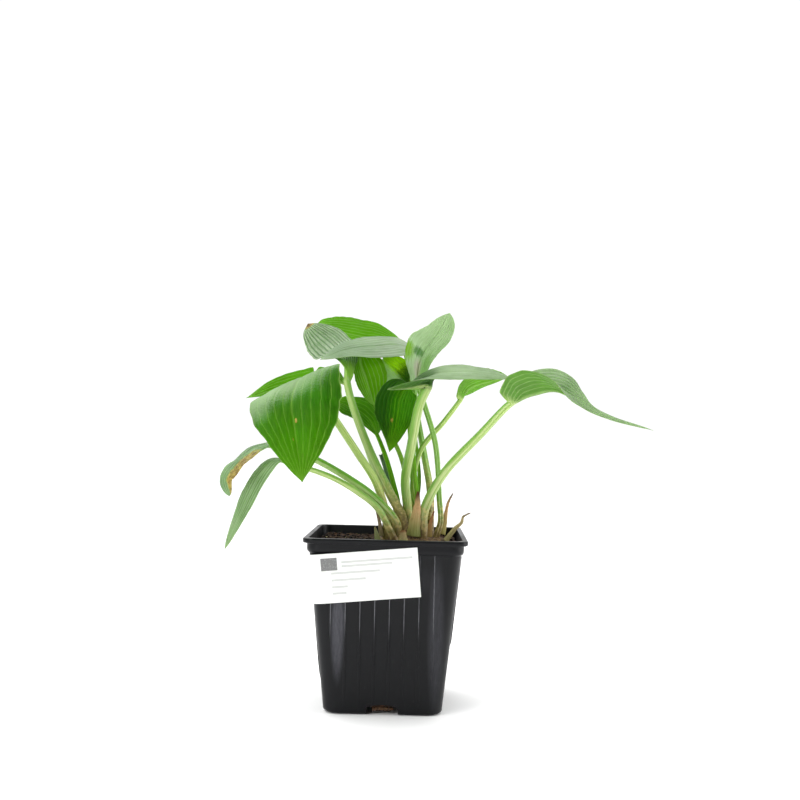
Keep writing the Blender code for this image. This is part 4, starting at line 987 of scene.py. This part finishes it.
def make_soil():
    """The root ball: a crumbly peat surface, with separate crumbs, bark bits and fibres on it."""
    m = Look("peat")
    clod = m.noise(m.place(2.2), 6.0, 0.72)
    grit = m.noise(m.place(0.6, offset=3), 3.0, 0.7)
    warm = m.noise(m.place(7.0, offset=5), 3.0)
    colour = m.mix(m.span(clod, 0.35, 0.7), srgb(20, 13, 8), srgb(66, 44, 28))
    colour = m.tint(colour, m.span(warm, 0.45, 0.7), 0.5, srgb(92, 58, 34))
    colour = m.tint(colour, m.span(grit, 0.62, 0.72), 0.5, srgb(138, 104, 70))
    normal = m.bump(m.plus(clod, m.times(grit, 0.5)), 0.9, 0.9)
    m.finish(colour, m.span(clod, 0.3, 0.7, 0.85, 1.0), normal, Specular_IOR_Level=0.25)

    bottom = FLOOR_Z + FLOOR_THICK + GAP
    corner = CORNER_R - WALL_THICK - GAP
    rings = []
    for z in np.linspace(bottom, SOIL_LEVEL - 4.0, 12):
        ring, _, _ = rounded_square(wall_half(z) - WALL_THICK - GAP, corner, 60, 9)
        rings.append(np.c_[ring, np.full(len(ring), z)])
    edge = wall_half(SOIL_LEVEL - 4.0) - WALL_THICK - GAP
    for scale in np.linspace(1.0, 0.02, 70):
        ring, _, _ = rounded_square(edge * scale, max(corner * scale, 0.05), 60, 9)
        rings.append(np.c_[ring, height_of_soil(*ring.T)])
    rings = np.array(rings)
    top = rings[13:]
    clods = 1.1 * value_noise(top, 4.2, 2.0, 4) + 0.5 * np.abs(value_noise(top, 1.6, 5.0, 3))
    rings[13:, :, 2] += clods - 0.2
    skin("potting_soil_visual", rings, m.material, "potting_soil")

    crumbs = Look("peat_crumbs_skin")
    lump = crumbs.noise(crumbs.place(1.0), 5.0, 0.7)
    pick = crumbs.attribute("tone")[0]
    tone = crumbs.mix(crumbs.span(pick, 0.2, 0.95), srgb(14, 9, 6), srgb(52, 35, 22))
    tone = crumbs.mix(crumbs.span(pick, 0.955, 0.97), tone, srgb(206, 196, 150))
    tone = crumbs.tint(tone, crumbs.span(lump, 0.4, 0.7), 0.5, srgb(26, 17, 10))
    crumbs.finish(tone, crumbs.span(lump, 0.3, 0.7, 0.8, 1.0), crumbs.bump(lump, 0.4, 0.9),
                  Specular_IOR_Level=0.25)
    parts, tones = [], []
    base_ring = np.linspace(0, 2 * math.pi, 8, endpoint=False)
    for _ in range(CRUMBS):
        x, y = rng.uniform(-edge + 1.5, edge - 1.5, 2)
        size = rng.uniform(0.25, 0.95) * (1.5 if rng.random() < 0.08 else 1.0)
        stretch = np.array([1.0, rng.uniform(0.45, 1.0), rng.uniform(0.4, 0.8)])
        turn = (Matrix.Rotation(rng.uniform(0, 6.28), 3, "Z")
                @ Matrix.Rotation(rng.uniform(-0.5, 0.5), 3, "X"))
        rows = []
        for lat in np.linspace(-1.35, 1.35, 5):
            r = math.cos(lat) * (1 + 0.25 * rng.standard_normal(8) * 0.6)
            rows.append(np.c_[r * np.cos(base_ring), r * np.sin(base_ring), np.full(8, math.sin(lat))])
        shape = np.array(rows) * stretch * size
        shape = shape @ np.array(turn).T
        z = float(height_of_soil(np.array(x), np.array(y)))
        shape += (x, y, z + 0.35 * size + 0.5)
        parts.append(outward_part(shape))
        tones.append(np.full((shape.shape[0] * shape.shape[1], 3), rng.random()))
    add_object("peat_crumbs", mesh_from("peat_crumbs", parts, dict(tone=np.concatenate(tones))),
               crumbs.material, None)

    material = root_material("peat_fibre_skin", srgb(112, 82, 52), srgb(48, 30, 18))
    parts = []
    for _ in range(FIBRES):
        x, y = rng.uniform(-edge + 3.5, edge - 3.5, 2)
        a = rng.uniform(0, 6.28)
        reach = rng.uniform(1.5, 4.5)
        points = []
        for u in np.linspace(-0.5, 0.5, 4):
            px = x + reach * u * math.cos(a) + rng.normal(0, 0.25)
            py = y + reach * u * math.sin(a) + rng.normal(0, 0.25)
            px, py = np.clip([px, py], -edge + 1.2, edge - 1.2)
            z = float(height_of_soil(np.array(px), np.array(py))) + rng.uniform(0.5, 1.7)
            points.append((px, py, z))
        line = smooth_line(points, 10)
        rings = tube(line, np.full(11, rng.uniform(0.07, 0.17)), 5)
        parts.append(outward_part(rings))
    add_object("peat_fibres", mesh_from("peat_fibres", parts), material, None)


def make_crown():
    """The knobbly crown with the brown remains of old leaf bases."""
    m = Look("crown_bark")
    knob = m.noise(m.place(1.8), 5.0, 0.7)
    fibre = m.noise(m.place(0.7, 0.7, 3.5, offset=2), 4.0, 0.65)
    colour = m.mix(m.span(knob, 0.35, 0.68), srgb(46, 30, 18), srgb(132, 102, 66))
    colour = m.tint(colour, m.span(fibre, 0.5, 0.72), 0.5, srgb(164, 142, 100))
    m.finish(colour, m.span(knob, 0.3, 0.7, 0.7, 0.95), m.bump(m.plus(knob, fibre), 0.7, 0.9))
    rings = []
    low = SOIL_LEVEL + GAP
    sides = 120
    angle = np.linspace(0, 2 * math.pi, sides, endpoint=False)
    reach = 1 + 0.05 * np.sin(3 * angle + 1) + 0.03 * np.sin(5 * angle)
    for level, scale in ([(0, 0.12), (0, 0.6), (0, 0.96), (1, 1.0)]
                         + [(2, k) for k in np.linspace(0.985, 0.02, 44)]):
        x = CROWN_CENTRE[0] + CROWN_HALF[0] * scale * reach * np.cos(angle)
        y = CROWN_CENTRE[1] + CROWN_HALF[1] * scale * reach * np.sin(angle)
        dome = low + 0.4 + 2.4 * math.sqrt(max(0.0, 1 - scale ** 2))
        rings.append(np.c_[x, y, np.full(sides, (low - 1.0, low - 0.2, dome)[level])])
    rings = np.array(rings)
    rings[4:, :, 2] += (1.1 * np.abs(value_noise(rings[4:], 4.0, 3.0, 3))
                        + 0.4 * value_noise(rings[4:], 1.4, 4.0, 2))
    skin("crown_visual", rings, m.material, "crown")


# ---------------------------------------------------------------- pot and label
def mark_ribs(mesh):
    """Note on each of the pot's points how near it is to the top of a rib, where a highlight is painted."""
    points = np.empty(len(mesh.vertices) * 3)
    mesh.vertices.foreach_get("co", points)
    x, y, z = points.reshape(-1, 3).T / MM
    outside = np.maximum(np.abs(x), np.abs(y)) > wall_half(z) - 0.3
    rib_highlight = np.zeros(len(x))
    for side in range(4):
        turn = side * math.pi / 2
        across = x * math.cos(turn) + y * math.sin(turn)
        depth = x * math.sin(turn) - y * math.cos(turn)
        here = outside & (depth > np.abs(across))
        for place in RIB_PLACES:
            rib_highlight = np.maximum(rib_highlight, here * np.exp(-((across - place) / 0.34) ** 2))
    rib_highlight *= ease((z - 24.0) / 34.0) * (z < POT_HEIGHT - RIM_THICK - SKIRT_DEPTH)
    layer = mesh.attributes.new("rib", "FLOAT_VECTOR", "POINT")
    layer.data.foreach_set("vector", np.c_[rib_highlight, rib_highlight, rib_highlight].ravel())


# Painted highlights on the front wall, where the lamps' soft reflections fall: middle x, middle z, half
# width, half height (mm), strength.
POT_PAINTED_HIGHLIGHTS = ((-25.0, 50, 4.2, 34, 0.48), (28.5, 44, 5, 44, 0.2), (-6, 74, 40, 12, 0.08))


def make_pot():
    """The square nursery pot: flange, skirt, ribbed tapering wall, foot, notches and pad, with painted
    highlights on its ribs and front wall.
    """
    m = Look("pot_plastic")
    cloud = m.noise(m.place(22.0), 4.0, 0.6)
    scuff = m.noise(m.place(1.1, 1.1, 9.0, offset=4), 5.0, 0.75)
    dust = m.noise(m.place(0.7, offset=8), 3.0, 0.7)
    grain = m.noise(m.place(0.35, offset=1), 2.0, 0.5)
    colour = m.mix(m.span(cloud, 0.35, 0.65), srgb(8, 9, 12), srgb(13, 14, 17))
    colour = m.tint(colour, m.span(scuff, 0.58, 0.78), 0.22, srgb(60, 60, 62))
    colour = m.tint(colour, m.span(dust, 0.66, 0.76), 0.25, srgb(80, 74, 66))
    # Painted highlight: a light grey line down the top of each rib, fading lower down the wall.
    rib_highlight, _, _ = m.attribute("rib")
    rib_highlight = m.times(m.span(rib_highlight, 0.35, 0.95), m.span(scuff, 0.3, 0.6, 0.45, 1.0))
    colour = m.tint(colour, rib_highlight, 0.75, srgb(122, 123, 128))
    x, y, z = m.split(m.node("TexCoord").outputs["Object"])
    # Painted highlight: pale soft patches on the front wall where the lamps would reflect.
    for *spot, power in POT_PAINTED_HIGHLIGHTS:
        near = m.rest(m.span(m.from_spot(x, z, [v * MM for v in spot]), 0.0, 1.2))
        painted_highlight = m.times(near, m.span(scuff, 0.25, 0.7, 0.5, 1.0))
        colour = m.tint(colour, painted_highlight, m.span(y, -0.030, -0.028, power, 0.0), srgb(108, 108, 116))
    rough = m.plus(m.span(cloud, 0.3, 0.7, 0.30, 0.42), m.times(m.span(scuff, 0.5, 0.8), 0.16))
    normal = m.bump(m.plus(m.times(cloud, 0.3), m.times(grain, 0.25)), 0.25, 0.6)
    m.finish(colour, rough, normal, Specular_IOR_Level=0.19)

    lip = POT_HEIGHT - RIM_THICK
    skirt = lip - SKIRT_DEPTH
    floor_top = FLOOR_Z + FLOOR_THICK
    inner_r = CORNER_R - WALL_THICK
    step = skirt - 1.0
    profile = [(PAD_HALF - 0.4, 4.6, 0.0, 0), (PAD_HALF, 5.0, 0.25, 0), (PAD_HALF + 0.6, 5.0, FLOOR_Z, 0),
               (BASE_HALF - 3.2, 6.0, FLOOR_Z, 0), (BASE_HALF - 2.0, 6.2, 0.6, 0),
               (BASE_HALF - 1.7, CORNER_R - 1.6, 0.1, 0),
               (BASE_HALF - 1.3, CORNER_R - 1.2, 0.0, 0), (BASE_HALF - 0.75, CORNER_R, 0.12, 0),
               (BASE_HALF - 0.25, CORNER_R, 0.6, 0)]
    profile += [(wall_half(z), CORNER_R, z, 1) for z in np.linspace(1.4, skirt - 0.5, 64)]
    profile.append((wall_half(skirt) + 0.1, CORNER_R - 1, skirt - 0.05, 0))
    for a in np.linspace(0.2, math.pi / 2, 7):
        profile.append((SKIRT_HALF - SKIRT_IN + SKIRT_IN * math.sin(a), CORNER_R - 1,
                        skirt + SKIRT_UP * (1 - math.cos(a)), 0))
    profile += [(SKIRT_HALF, CORNER_R - 1, z, 0) for z in np.linspace(skirt + 2.8, lip - 0.5, 5)]
    profile += [(SKIRT_HALF + 0.12, CORNER_R - 1, lip - 0.12, 0), (SKIRT_HALF + 0.5, 6.6, lip, 0)]
    for middle, first in ((lip + RIM_ROUND, -math.pi / 2), (POT_HEIGHT - RIM_ROUND, 0.0)):
        for a in np.linspace(first, first + math.pi / 2, 5):
            inset = RIM_ROUND * (1 - math.cos(a))
            profile.append((RIM_HALF - inset, RIM_CORNER_R - inset, middle + RIM_ROUND * math.sin(a), 0))
    profile += [(MOUTH_HALF + 0.4, inner_r - 0.6, POT_HEIGHT, 0),
                (MOUTH_HALF + 0.08, inner_r - 1, POT_HEIGHT - 0.14, 0),
                (MOUTH_HALF, inner_r - 1, POT_HEIGHT - 0.5, 0),
                (MOUTH_HALF - 0.3, inner_r - 1, step + 1, 0),
                (wall_half(step) - WALL_THICK, inner_r, step, 0)]
    profile += [(wall_half(z) - WALL_THICK, inner_r, z, 0) for z in np.linspace(step - 1.5, floor_top, 14)]
    rings = []
    for half, corner, z, ribbed in profile:
        ring, way, face = rounded_square(half, corner, 190, 15)
        if ribbed:
            rise = np.zeros(len(ring))
            flat = np.nan_to_num(face, nan=1e3)
            for x in RIB_PLACES:
                rise += 0.55 * (ease((flat - x + 0.85) / 0.45) - ease((flat - x - 0.4) / 0.45))
            fade = (float(ease(np.array((z - 6.0) / 26.0))) * 0.75
                    + 0.25 * float(ease(np.array((z - 2.0) / 4.0))))
            fade *= 1.0 - float(ease(np.array((z - skirt + 2.2) / 1.6)))
            sag = 0.10 * np.sin(flat * 0.09) * np.isfinite(face)
            ring = ring + way * (rise * fade + sag * math.sin(math.pi * z / skirt))[:, None]
        rings.append(np.c_[ring, np.full(len(ring), z)])
    rings = np.array(rings)
    part = outward_part(rings)
    mesh = mesh_from("pot_visual", [part])
    pot = add_object("pot_visual", mesh, m.material, "pot")

    cutters = []
    for side in range(4):
        arch = [(-DRAIN_HALF, -1.0)]
        spring = DRAIN_HEIGHT - ARCH_RISE
        for a in np.linspace(math.pi, 0, 25):
            arch.append((DRAIN_HALF * math.cos(a), spring + ARCH_RISE * math.sin(a)))
        arch.append((DRAIN_HALF, -1.0))
        cos, sin = math.cos(side * math.pi / 2), math.sin(side * math.pi / 2)
        loops = [[(x * cos - y * sin, x * sin + y * cos, z) for x, z in arch]
                 for y in (-BASE_HALF - 2.0, -BASE_HALF + DRAIN_DEPTH)]
        loops = np.array(loops)
        block = bpy.data.meshes.new("notch_%d" % side)
        points, faces = outward_part(loops)
        block.from_pydata((points * MM).tolist(), [], faces)
        cutter = bpy.data.objects.new("notch_%d" % side, block)
        bpy.context.scene.collection.objects.link(cutter)
        cut = pot.modifiers.new("notch_%d" % side, "BOOLEAN")
        cut.operation, cut.solver, cut.object = "DIFFERENCE", "EXACT", cutter
        cutters.append(cutter)
    dg = bpy.context.evaluated_depsgraph_get()
    done = bpy.data.meshes.new_from_object(pot.evaluated_get(dg))
    pot.modifiers.clear()
    pot.data = done
    mark_ribs(done)
    for cutter in cutters:
        bpy.data.objects.remove(cutter, do_unlink=True)
    pot.data.polygons.foreach_set("use_smooth", np.ones(len(pot.data.polygons), bool))
    pot.data.set_sharp_from_angle(angle=math.radians(38))
    pot.data.update()


def label_half(z):
    """Half width of the surface that the label lies on: the skirt, then a slope to the wall."""
    skirt = POT_HEIGHT - RIM_THICK - SKIRT_DEPTH
    on_skirt = SKIRT_HALF + GAP + 0.05
    foot_z = 58.0
    on_wall = wall_half(foot_z) + 0.9
    if z >= skirt:
        return on_skirt
    return on_wall + (on_skirt - on_wall) * (z - foot_z) / (skirt - foot_z)


def label_point(a, b, lift):
    """The place of a point a along and b up the label, lift out from the surface under it."""
    run = a * math.cos(LABEL_TILT) + b * math.sin(LABEL_TILT)
    z = LABEL_START[1] - a * math.sin(LABEL_TILT) + b * math.cos(LABEL_TILT)
    half = label_half(z) + lift
    corner = CORNER_R + lift
    straight = LABEL_START[0] + label_half(z) - CORNER_R
    if run <= straight:
        return (LABEL_START[0] - run, -half, z)
    turn = (run - straight) / CORNER_R
    middle = half - corner
    return (-middle - corner * math.sin(turn), -middle - corner * math.cos(turn), z)


# The label's plain marks, in mm along and up it: the block as (from, to, low, high), and each
# unbroken bar as (low, from, to).
LABEL_BLOCK = (43.9, 52.8, 17.7, 24.6)
LABEL_BARS = ((21.3, 3.0, 41.6), (19.1, 14.0, 41.6), (15.5, 21.0, 47.6), (11.7, 29.0, 47.6),
              (8.0, 39.0, 47.6), (4.5, 40.0, 47.6))
BAR_HEIGHT = 1.2
BAR_INK = 0.4
PAPER_LIFT = 0.12


def make_label():
    """A white paper label with a plain grey block and plain bars, wrapped round the corner."""
    m = Look("label_paper")
    a, b, _ = m.attribute("sheet")
    fibre = m.noise(m.place(0.5), 4.0, 0.6)
    soft = m.noise(m.place(9.0, offset=2), 2.0)
    paper = m.mix(m.span(soft, 0.3, 0.7), srgb(238, 241, 236), srgb(244, 246, 242))

    def inside(value, low, high):
        """1 where value is between low and high, with a soft edge."""
        soft_edge = 0.12
        return m.times(m.span(value, low - soft_edge, low + soft_edge),
                      m.span(value, high - soft_edge, high + soft_edge, 1.0, 0.0))

    ink = m.times(inside(a, *LABEL_BLOCK[:2]), inside(b, *LABEL_BLOCK[2:]))
    for low, left, right in LABEL_BARS:
        bar = m.times(inside(a, left, right), inside(b, low, low + BAR_HEIGHT))
        ink = m.larger(ink, m.times(bar, BAR_INK))
    worn = m.times(ink, m.span(fibre, 0.25, 0.5, 0.7, 1.0))
    colour = m.mix(worn, paper, srgb(112, 113, 112))
    m.finish(colour, m.span(fibre, 0.3, 0.7, 0.42, 0.58), m.bump(fibre, 0.05, 0.5))
    columns, rows = 150, 60
    rings, sheet = [], []
    for i in range(columns + 1):
        a_mm = LABEL_LENGTH * i / columns
        heights = [LABEL_HEIGHT * j / rows for j in range(rows + 1)]

        def curl(b_mm):
            """How far the paper stands off: its ends and lower edge lift a little."""
            end = min(a_mm, LABEL_LENGTH - a_mm)
            return 0.35 * math.exp(-end / 2.2) + 0.18 * math.exp(-b_mm / 2.0) + 0.05 * math.sin(a_mm * 0.35)

        outer = [label_point(a_mm, h, PAPER_LIFT + LABEL_THICK * 0.6 + curl(h)) for h in heights]
        inner = [label_point(a_mm, h, PAPER_LIFT + curl(h)) for h in heights[::-1]]
        rings.append(outer + inner)
        sheet.append([(a_mm, h, 0.0) for h in heights] + [(a_mm, h, 1.0) for h in heights[::-1]])
    skin("label_visual", np.array(rings), m.material, "label",
         dict(sheet=np.array(sheet).reshape(-1, 3)))


# ---------------------------------------------------------------- stage, light and camera
# Each soft lamp: name, place, the point it faces, its two sizes (all metres) and its power (W).
LAMPS = (("left_softbox", (-0.75, -0.75, 0.75), (0.0, 0.0, 0.12), (0.5, 0.5), 6.5),
         ("left_strip", (-0.36, -0.95, 0.22), (-0.02, 0.0, 0.06), (0.12, 0.5), 1.6),
         ("right_softbox", (0.85, -0.10, 0.35), (0.0, 0.0, 0.08), (0.25, 0.9), 5.5))


def make_stage():
    """A plain pale floor, a white surround and soft lamps."""
    m = Look("floor_surface")
    soft = m.noise(m.place(240.0), 2.0)
    colour = m.mix(soft, srgb(250, 250, 250), srgb(253, 253, 253))
    m.finish(colour, 0.85, Specular_IOR_Level=0.1)
    size = 6.0
    mesh = bpy.data.meshes.new("floor")
    mesh.from_pydata([(-size, -size, 0), (size, -size, 0), (size, size, 0), (-size, size, 0)], [],
                     [(0, 1, 2, 3)])
    mesh.materials.append(m.material)
    floor = bpy.data.objects.new("floor", mesh)
    floor.location.z = -0.0004
    bpy.context.scene.collection.objects.link(floor)

    world = bpy.data.worlds.new("surround")
    world.use_nodes = True
    tree = world.node_tree
    back = tree.nodes["Background"]
    where = tree.nodes.new("ShaderNodeTexCoord")
    parts = tree.nodes.new("ShaderNodeSeparateXYZ")
    tree.links.new(where.outputs["Generated"], parts.inputs[0])
    behind = tree.nodes.new("ShaderNodeMapRange")
    behind.interpolation_type = "SMOOTHSTEP"
    for socket, value in zip(behind.inputs, (None, -0.30, 0.40, 0.05, 1.15)):
        if value is not None:
            socket.default_value = value
    tree.links.new(parts.outputs["Y"], behind.inputs[0])
    ray = tree.nodes.new("ShaderNodeLightPath")
    pick = tree.nodes.new("ShaderNodeMix")
    pick.data_type = "FLOAT"
    tree.links.new(ray.outputs["Is Camera Ray"], pick.inputs[0])
    tree.links.new(behind.outputs[0], pick.inputs[2])
    pick.inputs[3].default_value = 1.05
    tree.links.new(pick.outputs[0], back.inputs["Strength"])
    back.inputs["Color"].default_value = (1, 1, 1, 1)
    bpy.context.scene.world = world

    sun = bpy.data.lights.new("ceiling_light", "SUN")
    sun.energy = 2.5
    sun.angle = math.radians(80)
    holder = bpy.data.objects.new("ceiling_light", sun)
    bpy.context.scene.collection.objects.link(holder)
    holder.rotation_euler = (math.radians(-12), math.radians(-14), 0)
    for name, place, aim, size, power in LAMPS:
        lamp = bpy.data.lights.new(name, "AREA")
        lamp.shape = "RECTANGLE"
        lamp.size, lamp.size_y = size
        lamp.energy = power
        holder = bpy.data.objects.new(name, lamp)
        bpy.context.scene.collection.objects.link(holder)
        holder.location = place
        holder.rotation_euler = (Vector(aim) - Vector(place)).to_track_quat("-Z", "Y").to_euler()


CAMERA_PLACE = (0.0141, -0.5590, 0.1492)    # metres
CAMERA_TURN = (2.5, 0.87, 1.28)             # degrees up, to the left and rolled
SENSOR_WIDTH = 36.0                         # mm
LENS = 42.795                               # mm


def make_camera():
    """The camera: low in front, turned a little left and rolled slightly."""
    pitch, yaw, roll = (math.radians(angle) for angle in CAMERA_TURN)
    ahead = Vector((-math.sin(yaw) * math.cos(pitch), math.cos(yaw) * math.cos(pitch), math.sin(pitch)))
    level = Vector((math.cos(yaw), math.sin(yaw), 0.0))
    above = level.cross(ahead)
    right = math.cos(roll) * level + math.sin(roll) * above
    up = math.cos(roll) * above - math.sin(roll) * level
    data = bpy.data.cameras.new("camera")
    data.sensor_width = SENSOR_WIDTH
    data.lens = LENS
    data.clip_start = 0.01
    camera = bpy.data.objects.new("camera", data)
    bpy.context.scene.collection.objects.link(camera)
    turn = Matrix((right, up, -ahead)).transposed()
    camera.matrix_world = Matrix.Translation(CAMERA_PLACE) @ turn.to_4x4()
    bpy.context.scene.camera = camera


make_pot()
make_label()
make_soil()
make_crown()
make_roots()
make_stub()
for number, (key, values) in enumerate(SHEATHS.items()):
    make_sheath(key, values, number)
for number, (key, values) in enumerate(LEAVES.items()):
    make_leaf(key, values, number)
make_stage()
make_camera()
bpy.context.scene.view_settings.view_transform = "Standard"
